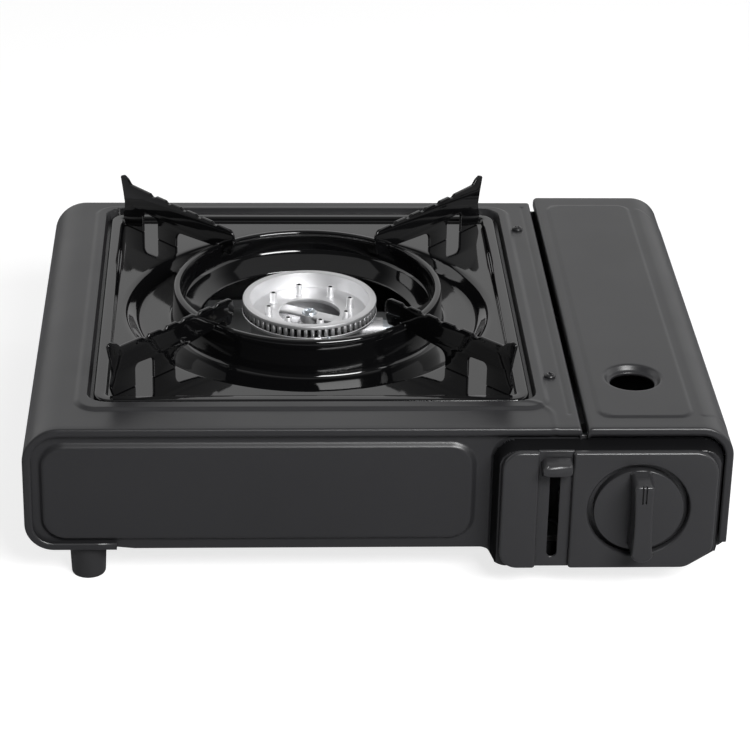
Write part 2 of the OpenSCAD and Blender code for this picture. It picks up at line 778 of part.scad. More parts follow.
// Steel mixing tube with a flared mouth and air windows
module mixing_tube() {
    color([0.6, 0.61, 0.63]) placed() translate([0, burner_y, tube_z]) rotate([0, 90, 0]) difference() {
        union() {
            translate([0, 0, tube_x0]) cylinder(d = tube_d, h = tube_x1 - tube_x0);
            translate([0, 0, tube_x1 - 23]) cylinder(d1 = tube_d, d2 = mouth_d, h = 4);
            translate([0, 0, tube_x1 - 19.01]) cylinder(d = mouth_d, h = 19.01);
        }
        translate([0, 0, tube_x0 - cut]) cylinder(d = tube_d - 2, h = tube_x1 - tube_x0 - 20);
        translate([0, 0, tube_x1 - 23]) cylinder(d1 = tube_d - 2, d2 = mouth_d - 2, h = 4);
        translate([0, 0, tube_x1 - 19.01]) cylinder(d = mouth_d - 2, h = 17);
        translate([0, 0, tube_x1 - 3]) cylinder(d = 7.1, h = 10);
        for (a = [0:90:270]) rotate(a + 45) translate([0, -3.5, tube_x1 - 15]) cube([30, 7, 8]);
    }
}

// Sleeve that trims the air windows
module air_shutter() {
    d = mouth_d;
    color([0.72, 0.73, 0.75]) placed() translate([0, burner_y, tube_z]) rotate([0, 90, 0]) difference() {
        translate([0, 0, tube_x1 - 17.5]) cylinder(d = d + 1.8, h = 12);
        translate([0, 0, tube_x1 - 18.5]) cylinder(d = d + 0.2, h = 14);
        for (a = [0:90:270]) rotate(a + 52) translate([0, -3.5, tube_x1 - 15]) cube([30, 7, 8]);
    }
}

pipe_d = 5;
pipe_y = 22;
pipe_z = tube_z;
pipe_run_x = partition_x - 6;
pipe_bend_r = 5.5;

// Brass jet that closes the tube's mouth, with an elbow for the pipe
module gas_jet() {
    color([0.78, 0.63, 0.33]) placed() translate([0, burner_y, tube_z]) difference() {
        union() {
            rotate([0, 90, 0]) translate([0, 0, tube_x1 - 7]) cylinder(d = 7, h = 7.1);
            rotate([0, 90, 0]) translate([0, 0, tube_x1]) cylinder(d = 11, h = 4, $fn = 6);
            translate([tube_x1 + 3.9, -7, -4]) cube([8.6, 11, 8]);
        }
        rotate([0, 90, 0]) translate([0, 0, tube_x1 - 8]) cylinder(d = 1, h = 9);
        rotate([0, 90, 0]) translate([0, 0, tube_x1 - 2]) cylinder(d = 3, h = pipe_run_x - tube_x1 + 2);
        rod_y(pipe_run_x, 0, pipe_d / 2 + run_fit, -7 - cut, -2);
        rod_y(pipe_run_x, 0, 1.6, -4, 1.5);
    }
}

// Gas pipe: out of the regulator, along the partition, then into the jet
module gas_pipe() {
    bend_x = pipe_run_x + pipe_bend_r;
    start_x = bay_x + 12;
    color([0.7, 0.71, 0.72]) placed() translate([0, 0, pipe_z]) {
        rod_x(pipe_y, 0, pipe_d / 2, bend_x, start_x);
        translate([bend_x, pipe_y + pipe_bend_r, 0]) rotate(180)
            rotate_extrude(angle = 90) translate([pipe_bend_r, 0]) circle(d = pipe_d, $fn = 32);
        rod_y(pipe_run_x, 0, pipe_d / 2, pipe_y + pipe_bend_r, burner_y - 2.3);
    }
}

// ---------------------------------------------------------------- ignition

electrode_a = 285;
clip_turn = -35;
clip_reach = 12;
electrode_r = head_d / 2 + 9.5;
electrode_x = burner_x + electrode_r * cos(electrode_a);
electrode_y = burner_y + electrode_r * sin(electrode_a);

// Puts a shape at the electrode, turned as its clip is
module electrode_at() {
    translate([electrode_x, electrode_y, 0]) rotate(clip_turn) children();
}

module electrode_insulator() {
    color([0.93, 0.92, 0.88]) placed() translate([electrode_x, electrode_y, 0]) difference() {
        union() {
            cylinder_from(bracket_z - 12, cup_top_z - 4, 5);
            cylinder_from(bracket_z + 1.9, bracket_z + 4.9, 8);
        }
        cylinder_from(0, 100, 1.6);
    }
}

// Wire electrode, bent over towards the flame slots
module electrode_rod() {
    top = head_z - 5;
    reach = 6;
    color([0.55, 0.55, 0.56]) placed() translate([electrode_x, electrode_y, 0]) {
        cylinder_from(bracket_z - 16, top, 1.5);
        translate([0, 0, top]) sphere(d = 1.5, $fn = 24);
        translate([0, 0, top]) rotate(electrode_a + 180) rotate([0, 90, 0]) cylinder(d = 1.5, h = reach);
    }
}

// Spring clip that holds the insulator on the bracket
module electrode_clip() {
    color([0.7, 0.71, 0.73]) placed() electrode_at() translate([0, 0, bracket_z + seam]) difference() {
        union() {
            layer(0, 1) pad2d(0, clip_reach / 2, 9, clip_reach + 9, 3);
            cylinder(d = 9, h = 1.7);
            translate([0, clip_reach, 0]) cylinder(d1 = 5.4, d2 = 4.6, h = 2.4);
            translate([0, clip_reach, -3]) cylinder(d = 3, h = 3.1);
        }
        cylinder_from(-cut, 5, 5.2);
    }
}

piezo_x0 = knob_x - 37.5;
piezo_x1 = knob_x - 20;
piezo_y = -2.4;
lead_x = piezo_x0 + 4;
// Place on the lead's route, as parts of the way to the electrode and a height above the floor
function on_route(u, v, h) = [lead_x + u * (electrode_x - lead_x), v * electrode_y, base_top_z + h];

// Route of the igniter's lead, from below the igniter to the electrode
lead_route = [[lead_x, piezo_y, knob_z - 8.4], [lead_x, piezo_y + 1, knob_z - 12], [lead_x - 1, 6, knob_z - 18],
    on_route(0.03, 0.16, 5.3), on_route(0.11, 0.24, 4.3), on_route(0.24, 0.27, 4.3),
    on_route(0.38, 0.34, 5.3), on_route(0.55, 0.49, 7.3), on_route(0.75, 0.67, 11.3),
    on_route(0.91, 0.83, 16.3), [electrode_x + 1, electrode_y - 4, bracket_z - 20],
    [electrode_x, electrode_y, bracket_z - 16.6]];
lead_d = 2.6;
lead_sides = 8;

function smooth(p, n) = [for (i = [0:len(p) - 2], k = [0:n - 1])
    let (a = p[max(i - 1, 0)], b = p[i], c = p[i + 1], d = p[min(i + 2, len(p) - 1)], s = k / n)
    0.5 * (2 * b + (c - a) * s + (2 * a - 5 * b + 4 * c - d) * s * s
        + (3 * b - a - 3 * c + d) * s * s * s)];

// Tube swept along a route
module swept(route, d, sides) {
    k = len(route);
    dir = [for (i = [0:k - 1]) unit(route[min(i + 1, k - 1)] - route[max(i - 1, 0)])];
    ring = [for (i = [0:k - 1])
        let (u = unit(cross(dir[i], [0.13, 0.21, 1])), v = cross(dir[i], u))
        each [for (j = [0:sides - 1]) route[i] + d / 2
            * (u * cos(360 * j / sides) + v * sin(360 * j / sides))]];
    side = [for (i = [0:k - 2], j = [0:sides - 1])
        [i * sides + j, i * sides + (j + 1) % sides, (i + 1) * sides + (j + 1) % sides, (i + 1) * sides + j]];
    polyhedron(ring, concat([[for (j = [0:sides - 1]) sides - 1 - j]], side,
        [[for (j = [0:sides - 1]) (k - 1) * sides + j]]), convexity = 4);
}

module ignition_lead() {
    color([0.12, 0.12, 0.13]) placed()
        swept(concat(smooth(lead_route, 4), [lead_route[len(lead_route) - 1]]), lead_d, lead_sides);
}

cam_x = knob_x;
cam_r = 12;
cam_rise = 3.4;
cam_turn = 120;
plunger_gap = 0.4;

module piezo_igniter() {
    color([0.15, 0.15, 0.16]) placed() difference() {
        union() {
            translate([piezo_x0, piezo_y - 3.6, knob_z - 5]) cube([piezo_x1 - piezo_x0, 7.2, 10]);
            translate([lead_x, piezo_y, knob_z - 8]) cylinder(d = 5, h = 4);
        }
        rod_x(piezo_y, knob_z, 2.6, piezo_x0 + 5, piezo_x1 + cut);
    }
}

// Sprung pin that the cam drives into the igniter
module piezo_plunger() {
    color([0.85, 0.85, 0.82]) placed() {
        rod_x(piezo_y, knob_z, 2.5, piezo_x0 + 5 + cam_rise + 1, cam_x - cam_r - plunger_gap - 1.2);
        rod_x(piezo_y, knob_z, 1.5, cam_x - cam_r - plunger_gap - 1.3, cam_x - cam_r - plunger_gap);
    }
}

// Spiral cam on the knob's shaft; its radius grows by cam_rise over the knob's turn
module ignition_cam() {
    outline = [for (a = [0:6:354])
        let (grow = a >= 180 - cam_turn && a <= 180 ? (180 - a) / cam_turn
            : (a > 30 && a < 180 - cam_turn ? (a - 30) / (150 - cam_turn) : 0))
        (cam_r + cam_rise * grow) * [cos(a), sin(a)]];
    color([0.85, 0.85, 0.82]) placed() difference() {
        union() {
            translate([cam_x, 0, knob_z]) upright(piezo_y - 2, piezo_y + 2) polygon(outline);
            rod_y(cam_x, knob_z, 7, piezo_y - 3, piezo_y + 2.6);
        }
        rod_y(cam_x, knob_z, shaft_d / 2 + run_fit, piezo_y - 10, piezo_y + 10);
    }
}

// ---------------------------------------------------------------- regulator

regulator_y0 = 5.6;
regulator_y1 = 26;
regulator_r = 23;
cover_t = 2;
inlet_y1 = 38;
ear_angles = [40, 160, 280];

// Repeats a shape at the regulator's three screw ears
module at_ears() {
    translate([knob_x + 1, 0, knob_z + 1]) for (a = ear_angles)
        translate([(regulator_r + 1) * cos(a), 0, (regulator_r + 1) * sin(a)]) children();
}

// Die-cast regulator behind the knob, standing on the tray
module regulator_body() {
    color([0.62, 0.63, 0.65]) placed() difference() {
        union() {
            rod_y(knob_x + 1, knob_z + 1, regulator_r, regulator_y0, regulator_y1);
            rod_y(canister_x, canister_z, 13, regulator_y1 - 4, regulator_y1 + 5);
            at_ears() rod_y(0, 0, 4, regulator_y0, regulator_y0 + 9);
            translate([bay_x + 6, pipe_y - 7, pipe_z - 8]) cube([22, 11, 14]);
            for (x = [knob_x - 15, knob_x + 9])
                translate([x, regulator_y0 + 3, tray_top_z + seam]) cube([8, 14, 18]);
        }
        rod_y(cam_x, knob_z, shaft_d / 2 + run_fit, 0, 14);
        rod_y(canister_x, canister_z, 8, regulator_y1 + 1, regulator_y1 + 10);
        rod_x(pipe_y, pipe_z, pipe_d / 2 + run_fit, bay_x, bay_x + 13);
        at_ears() rod_y(0, 0, 1.6, regulator_y0 - cut, regulator_y0 + 7.4);
    }
}

// Pressed front cover over the regulator's diaphragm
module regulator_cover() {
    y = regulator_y0 - seam;
    color([0.74, 0.75, 0.77]) placed() difference() {
        union() {
            rod_y(knob_x + 1, knob_z + 1, regulator_r - 0.6, y - cover_t, y);
            rod_y(knob_x + 1, knob_z + 1, 13, y - cover_t - 1, y);
            at_ears() rod_y(0, 0, 4, y - cover_t, y);
        }
        rod_y(cam_x, knob_z, shaft_d / 2 + 0.4, -5, 14);
        at_ears() rod_y(0, 0, 1.7, -5, 14);
    }
}

module regulator_screws() {
    y = regulator_y0 - seam - cover_t;
    color([0.7, 0.71, 0.73]) placed() at_ears() {
        rod_y(0, 0, 1.5, y - 0.1, regulator_y0 + 7);
        rod_y(0, 0, 2.8, y - 1.6, y);
    }
}

// Socket that takes the canister's nozzle
module inlet_socket() {
    color([0.78, 0.63, 0.33]) placed() difference() {
        union() {
            rod_y(canister_x, canister_z, 7.9, regulator_y1 + 1, regulator_y1 + 8);
            rod_y(canister_x, canister_z, 15, regulator_y1 + 5 + seam, regulator_y1 + 6.6);
            rod_y(canister_x, canister_z, 6.5, regulator_y1 + 6.5, inlet_y1);
        }
        rod_y(canister_x, canister_z, 3.2, regulator_y1 + 3, inlet_y1 + cut);
        rod_y(canister_x, canister_z, 5, inlet_y1 - 3, inlet_y1 + cut);
    }
}

// Rubber seal at the bottom of the socket's mouth
module inlet_seal() {
    color([0.08, 0.08, 0.08]) placed() difference() {
        rod_y(canister_x, canister_z, 4.95, inlet_y1 - 2.95, inlet_y1 - 0.9);
        rod_y(canister_x, canister_z, 2.6, inlet_y1 - 5, inlet_y1 + cut);
    }
}

// ---------------------------------------------------------------- controls

// Moulded control panel with the knob's pocket and the lever's channel
module control_panel() {
    plate = [[fascia_x0, fascia_z0, 9], [fascia_x1, fascia_z0, 13], [fascia_x1, fascia_z1, 12],
        [fascia_x0, fascia_z1, 9]];
    slot_z0 = fascia_z0 + 5.3;
    slot_z1 = fascia_z1 - 4;
    color([0.16, 0.16, 0.17]) placed() difference() {
        union() {
            upright(fascia_front_y, fascia_back_y) polygon(rounded(plate));
            rod_y(knob_x, knob_z, knob_pocket_r + 1.6, fascia_back_y - 0.1, pocket_floor_y + 1.4);
        }
        rod_y(knob_x, knob_z, knob_pocket_r, fascia_front_y - cut, pocket_floor_y);
        rod_y(knob_x, knob_z, 9, fascia_front_y, 0);
        translate([channel_x - lever_channel_w / 2, fascia_front_y - cut, fascia_z0 - cut])
            cube([lever_channel_w, lever_channel_depth + cut, fascia_h + 2 * cut]);
        upright(fascia_front_y - cut, fascia_back_y + cut)
            block2d(channel_x - lever_slot_w / 2, slot_z0, channel_x + lever_slot_w / 2, slot_z1,
                lever_slot_w / 2 - 0.1);
    }
}

// Turning knob: flush disc with a waisted bar handle and a pointer groove
module control_knob() {
    w = handle_w / 2;
    m = handle_waist / 2;
    r = knob_d / 2;
    side = [for (i = [0:12]) let (s = i / 12, z = r - 0.6 - 2 * (r - 0.6) * s)
        [m + (w - m) * pow(abs(2 * s - 1), 2), z]];
    outline = concat(side, [for (i = [12:-1:0]) [-side[i][0], side[i][1]]]);
    color([0.14, 0.14, 0.15]) placed() difference() {
        union() {
            rod_y(knob_x, knob_z, r, fascia_front_y, knob_disc_back_y);
            rod_y(knob_x, knob_z, 8, knob_disc_back_y - 0.1, piezo_y - 3 - rest_gap);
            intersection() {
                translate([knob_x, 0, knob_z]) upright(handle_front_y, fascia_front_y + 0.1) polygon(outline);
                sideways(knob_x - 20, knob_x + 20) polygon(rounded([
                    [fascia_front_y + 0.2, knob_z - r], [fascia_front_y + 0.2, knob_z + r],
                    [handle_front_y, knob_z + r - 3.4, 2.5], [handle_front_y, knob_z - r + 0.4, 3]]));
            }
        }
        rod_y(knob_x, knob_z, shaft_d / 2 + run_fit, fascia_front_y - 2, 0);
        for (dx = [-1.2, 1.2]) translate([knob_x + dx - 0.35, handle_front_y - cut, knob_z + r - 13])
            cube([0.7, cut + 0.6, 9]);
    }
}

// Steel shaft from the knob into the regulator's valve
module knob_shaft() {
    color([0.7, 0.71, 0.73]) placed() rod_y(knob_x, knob_z, shaft_d / 2, fascia_front_y - 1.8, 13.8);
}

// ---------------------------------------------------------------- lock lever

// Turns children by the lever's rest angle about its pivot
module on_lever(a) {
    translate([0, pivot_y, pivot_z]) rotate([-a, 0, 0]) children();
}

// Steel arm that swings behind the slot
module lever_arm() {
    color([0.7, 0.71, 0.73]) placed() on_lever(lever_up) difference() {
        union() {
            rod_x(0, 0, 8, lever_x, lever_x + lever_t);
            sideways(lever_x, lever_x + lever_t) polygon(rounded([[-lever_reach - 4.4, -2.6, 1],
                [-20, -4, 6], [0, -7.9], [0, 7.9], [-20, 4, 6], [-lever_reach - 4.4, 2.6, 1]]));
        }
        rod_x(0, 0, lever_shaft_d / 2 + run_fit, lever_x - cut, lever_x + lever_t + cut);
    }
}

// Moulded finger piece on the end of the arm
module lever_knob() {
    front = -lever_reach - 6.4;
    h = lever_knob_h / 2;
    color([0.15, 0.15, 0.16]) placed() on_lever(lever_up) difference() {
        intersection() {
            sideways(channel_x - lever_knob_w / 2, channel_x + lever_knob_w / 2)
                polygon(rounded([[-lever_reach, -h - 1, 1.5], [-lever_reach, h - 0.4, 0.8],
                    [front, h - 2.6, 1.5], [front + 1.6, -h, 2]]));
            upright(front - cut, -lever_reach + cut) block2d(channel_x - lever_knob_w / 2, -h - 1,
                channel_x + lever_knob_w / 2, h, 2);
        }
        translate([lever_x - run_fit, -lever_reach - 4.5, -2.9]) cube([lever_t + 2 * run_fit, 10, 5.8]);
    }
}

module lever_shaft() {
    color([0.75, 0.76, 0.78]) placed()
        rod_x(pivot_y, pivot_z, lever_shaft_d / 2, lever_x - 6, crank_x + crank_t);
}

// Crank on the bay side, whose pin moves the canister yoke
module lever_crank() {
    tilt = lever_swing / 2;
    color([0.7, 0.71, 0.73]) placed() translate([0, pivot_y, pivot_z]) rotate([-tilt, 0, 0]) difference() {
        union() {
            rod_x(0, 0, 5, crank_x, crank_x + crank_t);
            sideways(crank_x, crank_x + crank_t) polygon([[-4, 0], [-2.4, crank_r], [2.4, crank_r], [4, 0]]);
            rod_x(0, crank_r, 2.4, crank_x, crank_x + crank_t);
            rod_x(0, crank_r, crank_pin_d / 2, crank_x, yoke_wing_x + yoke_t + 1);
        }
        rod_x(0, 0, lever_shaft_d / 2 + run_fit, crank_x - cut, crank_x + crank_t + cut);
    }
}

// Upright on the floor that carries the shaft's left end
module lever_bracket() {
    x = lever_x - 5;
    color([0.66, 0.67, 0.69]) placed() difference() {
        union() {
            sideways(x, x + 1.6) polygon(rounded([[pivot_y - 12, base_top_z + seam],
                [pivot_y + 12, base_top_z + seam], [pivot_y + 6, pivot_z + 7, 5], [pivot_y - 6, pivot_z + 7, 5]]));
            translate([x - 12, pivot_y - 12, base_top_z + seam]) cube([12.1, 24, 1.4]);
        }
        rod_x(pivot_y, pivot_z, lever_shaft_d / 2 + run_fit, x - cut, x + 3);
    }
}

// Yoke that holds the canister's collar and draws it onto the socket
module canister_yoke() {
    half = 24;
    slot_w2 = crank_pin_d / 2 + 0.3;
    color([0.66, 0.67, 0.69]) placed() difference() {
        union() {
            upright(yoke_y, yoke_y + yoke_t) polygon(rounded([[yoke_wing_x, yoke_plate_z],
                [yoke_x0 + 4, yoke_plate_z], [yoke_x0 + 4, yoke_foot_z], [yoke_x1 - 4, yoke_foot_z],
                [yoke_x1 - 4, yoke_plate_z],
                [canister_x + half, yoke_plate_z], [canister_x + half, canister_z + 6, 5],
                [canister_x + 19, canister_z + 14, 3], [canister_x - 19, canister_z + 14, 3],
                [yoke_wing_x, canister_z + 10]]));
            sideways(yoke_wing_x, yoke_wing_x + yoke_t)
                polygon([[pin_y - 3.4, pin_z - 6], [yoke_y + 0.1, pin_z - 12], [yoke_y + 0.1, pin_z + 8],
                    [pin_y - 3.4, pin_z + 6]]);
            translate([yoke_x0, yoke_y, yoke_foot_z]) cube([yoke_x1 - yoke_x0, 16, yoke_t]);
        }
        rod_y(canister_x, canister_z, 15.5, yoke_y - cut, yoke_y + 4);
        translate([canister_x - 15.5, yoke_y - cut, canister_z]) cube([31, 5, 60]);
        sideways(yoke_wing_x - cut, yoke_wing_x + yoke_t + cut)
            block2d(pin_y - slot_w2, pin_z - 2.2, pin_y + slot_w2, pin_z + 3, slot_w2 - 0.1);
    }
}

yoke_foot_z = tray_top_z + 1.6;
yoke_plate_z = tray_top_z + 4.6;
yoke_x0 = yoke_wing_x + 4;
yoke_x1 = canister_x + 20;

// Two guides on the tray in which the yoke's foot slides
module yoke_guides() {
    y0 = yoke_y - 8;
    color([0.66, 0.67, 0.69]) placed() for (right = [false, true])
        translate([right ? yoke_x1 + rest_gap : yoke_x0 - rest_gap, y0, tray_top_z + seam])
        mirror([right ? 1 : 0, 0, 0]) {
            translate([-1.2, 0, 0]) cube([1.2, 26, 4]);
            translate([-1.2, 0, 0]) cube([4.2, 26, 1.2]);
            translate([-1.2, 0, 3.1]) cube([4.2, 26, 0.9]);
        }
}

// ---------------------------------------------------------------- drip pan

// Trough, wind ring and inner cone as one revolved sheet
module pan_form() {
    h = pan_floor_z;
    foot = h - trough_depth;
    half = ring_top_w / 2;
    top = h + ring_h;
    path = rounded([[trough_r + 0.5, h], [trough_r - 1, h, 2], [trough_r - 6, foot + 1.4, 3],
        [trough_r - 11, foot + 0.2, 6], [ring_r + half + 3, foot, 3], [ring_r + half, top - 3, 1],
        [ring_r + half, top, half - 0.2], [ring_r - half, top, half - 0.2], [ring_r - half, h + 3, 3],
        [pan_bore_r, foot + 1.6]], closed = false, n = 4);
    rotate_extrude($fn = 96) strip(path, t);
}

module drip_pan() {
    color([0.05, 0.05, 0.055]) placed() {
        difference() {
            union() {
                layer(pan_floor_z - t, pan_floor_z) pan2d(pan_rim_w - t);
                layer(pan_floor_z - t, pan_rim_z) pan_ring2d(pan_rim_w - t, pan_rim_w);
                layer(pan_rim_z - t, pan_rim_z) pan_ring2d(0, pan_rim_w - 0.01);
                layer(pan_rim_bottom_z, pan_rim_z) pan_ring2d(0, t);
            }
            translate([burner_x, burner_y, 0]) cylinder(r = trough_r + 0.4, h = pan_rim_z + cut, $fn = 96);
        }
        translate([burner_x, burner_y, 0]) pan_form();
    }
}

// Outline of the pan, drawn in by the given amount
module pan2d(in) {
    block2d(pan_x0 + in, pan_y0 + in, pan_x1 - in, pan_y1 - in, pan_corner_r - in);
}

module pan_ring2d(outer, inner) {
    difference() {
        pan2d(outer);
        pan2d(inner);
    }
}

// Plate profile of a pot support: distance from the burner against height
module support2d(outer) {
    z = pan_floor_z + seam;
    tooth = pan_floor_z + support_h;
    horn = pan_floor_z + horn_h;
    ring_top = pan_floor_z + ring_h + seam;
    inner_out = outer - support_foot_w - window_w;
    inner_in = inner_out - support_foot_w;
    seat_out = ring_r + ring_top_w / 2 + 0.4;
    seat_in = ring_r - ring_top_w / 2 - 0.4;
    tip = seat_in - hook_w;
    difference() {
        polygon(rounded([[outer, z, 0.6], [outer + 2, z + 5, 5], [outer, z + 12, 8], [outer + 1.4, z + 19, 6],
            [outer + 3.6, horn - 1.2, 1], [outer + 0.6, horn, 1.4], [outer - 2.6, horn - 1.4, 1.5],
            [outer - 5, tooth + 0.4, 1.5], [tip + 1, tooth, 4], [tip, ring_top + 3, 3],
            [tip + 2, ring_top - 4.6, 1.5], [seat_in, ring_top - 4, 1.2], [seat_in, ring_top, 0.3],
            [seat_out, ring_top, 0.3], [seat_out + 1.2, ring_top - 2.6, 1.5], [seat_out + 7, ring_top - 3, 4],
            [inner_in, z + 9, 4], [inner_in, z, 0.6], [inner_out, z, 0.6], [inner_out, z + window_h, 2.5],
            [outer - support_foot_w, z + window_h + 0.6, 2.5], [outer - support_foot_w, z, 0.6]], n = 4));
        for (s = [0.167, 0.31, 0.448, 0.585, 0.73]) translate([tip + s * (outer - tip), tooth + 2.4 - notch_depth])
            circle(r = 2.4, $fn = 24);
    }
}

// Support plate on its edge, pointing at the pan's corner given by the two signs
module pot_support(sx, sy) {
    corner = [sx * pan_w / 2, (sy > 0 ? pan_y1 : pan_y0) - burner_y];
    a = atan2(corner[1], corner[0]);
    color([0.05, 0.05, 0.055]) placed() translate([burner_x, burner_y, 0]) rotate([90, 0, a])
        translate([0, 0, -support_t / 2]) linear_extrude(support_t) support2d(norm(corner) - foot_gap);
}

module pot_support_front_left() {
    pot_support(-1, -1);
}

module pot_support_front_right() {
    pot_support(1, -1);
}

module pot_support_rear_left() {
    pot_support(-1, 1);
}

module pot_support_rear_right() {
    pot_support(1, 1);
}

// ---------------------------------------------------------------- lid

lid_side_x = right_x - lid_panel_h;
finger_x = lid_left_x + finger_side;
finger_y = finger_back;

// Filled section of the lid, drawn in and grown outwards, down to the given height
module lid2d(in, grow, bottom) {
    side = lid_side_x + grow - in;
    top = lid_top_z + grow - in;
    polygon(rounded([[lid_left_x + in, bottom], [lid_left_x + in, top, max(3 - in, 0.3)],
        [side, top, lid_corner_r + grow - in], [side, bottom]], n = 10));
}

// Section of the lid as a folded strip of width w
module lid_fold2d(w) {
    difference() {
        lid2d(0, 0, lid_edge_z);
        lid2d(w, 0, 0);
        translate([lid_left_x - cut, 0]) square([30, lid_top_z - 5.2]);
    }
}

// Curved side that is pressed out, between the seams at the lid's ends
module lid_side2d(in) {
    intersection() {
        lid2d(in, lid_panel_h, 0);
        translate([lid_side_x - lid_corner_r + 0.2, lid_edge_z + 6 + in]) square([60, 120]);
    }
}

// Raised panel on the lid's top, at the given depth below its face
module lid_top_panel(in) {
    x0 = lid_left_x + 5;
    x1 = lid_side_x - lid_corner_r - 1.6;
    hull() {
        layer(lid_top_z - in - 0.3, lid_top_z - in - 0.2) block2d(x0 + in, 7 + in, x1 - in, body_d - 6 - in, 8);
        layer(lid_top_z + lid_panel_h - in - 0.1, lid_top_z + lid_panel_h - in)
            block2d(x0 + 1.6 + in, 8.6 + in, x1 - 1.6 - in, body_d - 7.6 - in, 6.8);
    }
}

// Hinged lid: top, curved side, end flanges, raised panels and finger hole
module canister_lid() {
    y0 = -lid_front;
    y1 = lid_end_y;
    color([0.33, 0.33, 0.35]) placed() {
        difference() {
            union() {
                upright(y0, y1) lid_fold2d(t);
                for (y = [y0, y1 - t]) upright(y, y + t) lid_fold2d(lid_flange_w);
                difference() {
                    upright(16, body_d - 23) lid_side2d(0);
                    upright(0, body_d) lid2d(t, 0, 0);
                }
                lid_top_panel(0);
            }
            upright(17, body_d - 24) lid_side2d(t);
            lid_top_panel(t);
            translate([finger_x, finger_y, lid_top_z - 10]) cylinder(d = dish_d, h = 20);
        }
        translate([finger_x, finger_y, 0]) rotate_extrude() strip(rounded([
            [dish_d / 2 + 0.5, lid_top_z + lid_panel_h], [dish_d / 2 - 0.6, lid_top_z + lid_panel_h, 1],
            [dish_d / 2 - 2, lid_top_z + lid_panel_h - dish_h + 0.6, 1],
            [finger_d / 2 + 0.8, lid_top_z + lid_panel_h - dish_h, 1], [finger_d / 2 + 0.4, lid_top_z - dish_h - 1.6]],
            closed = false, n = 4), t);
    }
}

leaf_ys = [40, body_d - 58];
knuckle_r = hinge_rod_d / 2 + 1;

// Hinge leaves welded inside the lid's lower edge
module lid_hinge_leaves() {
    color([0.45, 0.46, 0.48]) placed() for (y = leaf_ys) difference() {
        union() {
            rod_y(hinge_x, hinge_z, knuckle_r, y, y + leaf_w);
            translate([lid_side_x - t - seam - 1, y, hinge_z]) cube([1, leaf_w, 14]);
        }
        rod_y(hinge_x, hinge_z, hinge_rod_d / 2 + run_fit, y - cut, y + leaf_w + cut);
    }
}

bracket_ys = [for (y = leaf_ys, side = [-1, 1]) y + side * (leaf_w + 1)];

// Hinge brackets welded to the tray's edge
module hinge_brackets() {
    color([0.45, 0.46, 0.48]) placed() for (y = bracket_ys) difference() {
        union() {
            rod_y(hinge_x, hinge_z, knuckle_r, y, y + leaf_w);
            translate([tray_wall_x + seam, y, hinge_z - 1]) cube([hinge_x - tray_wall_x - seam, leaf_w, 2]);
            translate([tray_wall_x + seam, y, hinge_z - 1]) cube([0.8, leaf_w, tray_wall_z - hinge_z + 1]);
        }
        rod_y(hinge_x, hinge_z, hinge_rod_d / 2 + run_fit, y - cut, y + leaf_w + cut);
    }
}

module hinge_rod() {
    color([0.75, 0.76, 0.78]) placed() rod_y(hinge_x, hinge_z, hinge_rod_d / 2, bracket_ys[0] - 3,
        bracket_ys[3] + leaf_w + 3);
}

// ---------------------------------------------------------------- nodes

body_shell();
front_panel();
rear_panel();
base_plate();
canister_tray();
partition();
foot_front_left();
foot_front_right();
foot_rear_left();
foot_rear_right();
foot_screws();
deck_screws();
burner_bracket();
burner_cup();
burner_head();
burner_screw();
cup_screws();
mixing_tube();
air_shutter();
gas_jet();
gas_pipe();
electrode_insulator();
electrode_rod();
electrode_clip();
ignition_lead();
piezo_igniter();
piezo_plunger();
regulator_body();
regulator_cover();
regulator_screws();
inlet_socket();
inlet_seal();
control_panel();
control_knob();
knob_shaft();
ignition_cam();
lever_arm();
lever_knob();
lever_shaft();
lever_crank();
lever_bracket();
canister_yoke();
yoke_guides();
drip_pan();
pot_support_front_left();
pot_support_front_right();
pot_support_rear_left();
pot_support_rear_right();
canister_lid();
lid_hinge_leaves();
hinge_brackets();
hinge_rod();
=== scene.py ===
"""Looks of a butane cassette stove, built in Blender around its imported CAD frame.

Lengths are in millimetres until a mesh is made. Places are measured from the front lip of the
body: X to the right from the body's middle, Y to the rear from the front lip, Z up from the table.
"""

import json
import logging
import math
from abc import ABC, abstractmethod
from contextlib import contextmanager
from dataclasses import dataclass
from enum import Enum
from typing import Callable, Iterator, Optional, Sequence

import bmesh
import bpy
import numpy as np
from mathutils import Euler, Matrix, Vector


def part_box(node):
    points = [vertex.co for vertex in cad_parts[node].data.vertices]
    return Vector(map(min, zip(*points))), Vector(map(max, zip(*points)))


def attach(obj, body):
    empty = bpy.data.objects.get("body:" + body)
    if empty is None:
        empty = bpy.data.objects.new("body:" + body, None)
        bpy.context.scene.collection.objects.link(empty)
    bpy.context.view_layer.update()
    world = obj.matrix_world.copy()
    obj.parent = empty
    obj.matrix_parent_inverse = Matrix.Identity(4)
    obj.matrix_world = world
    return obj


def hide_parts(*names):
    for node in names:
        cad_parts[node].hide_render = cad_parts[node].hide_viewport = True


log = logging.getLogger("stove")
logging.basicConfig(level=logging.INFO, format="%(name)s: %(message)s")

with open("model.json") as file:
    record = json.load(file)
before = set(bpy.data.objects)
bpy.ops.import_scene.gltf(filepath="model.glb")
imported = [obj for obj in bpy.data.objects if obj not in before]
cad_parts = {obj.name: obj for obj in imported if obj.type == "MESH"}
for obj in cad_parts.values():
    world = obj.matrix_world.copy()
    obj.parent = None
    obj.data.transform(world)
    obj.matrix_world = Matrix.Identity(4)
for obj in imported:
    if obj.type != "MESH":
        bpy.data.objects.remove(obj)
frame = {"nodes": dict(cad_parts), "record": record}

MM = 0.001
Point2 = tuple[float, float]
Point3 = tuple[float, float, float]


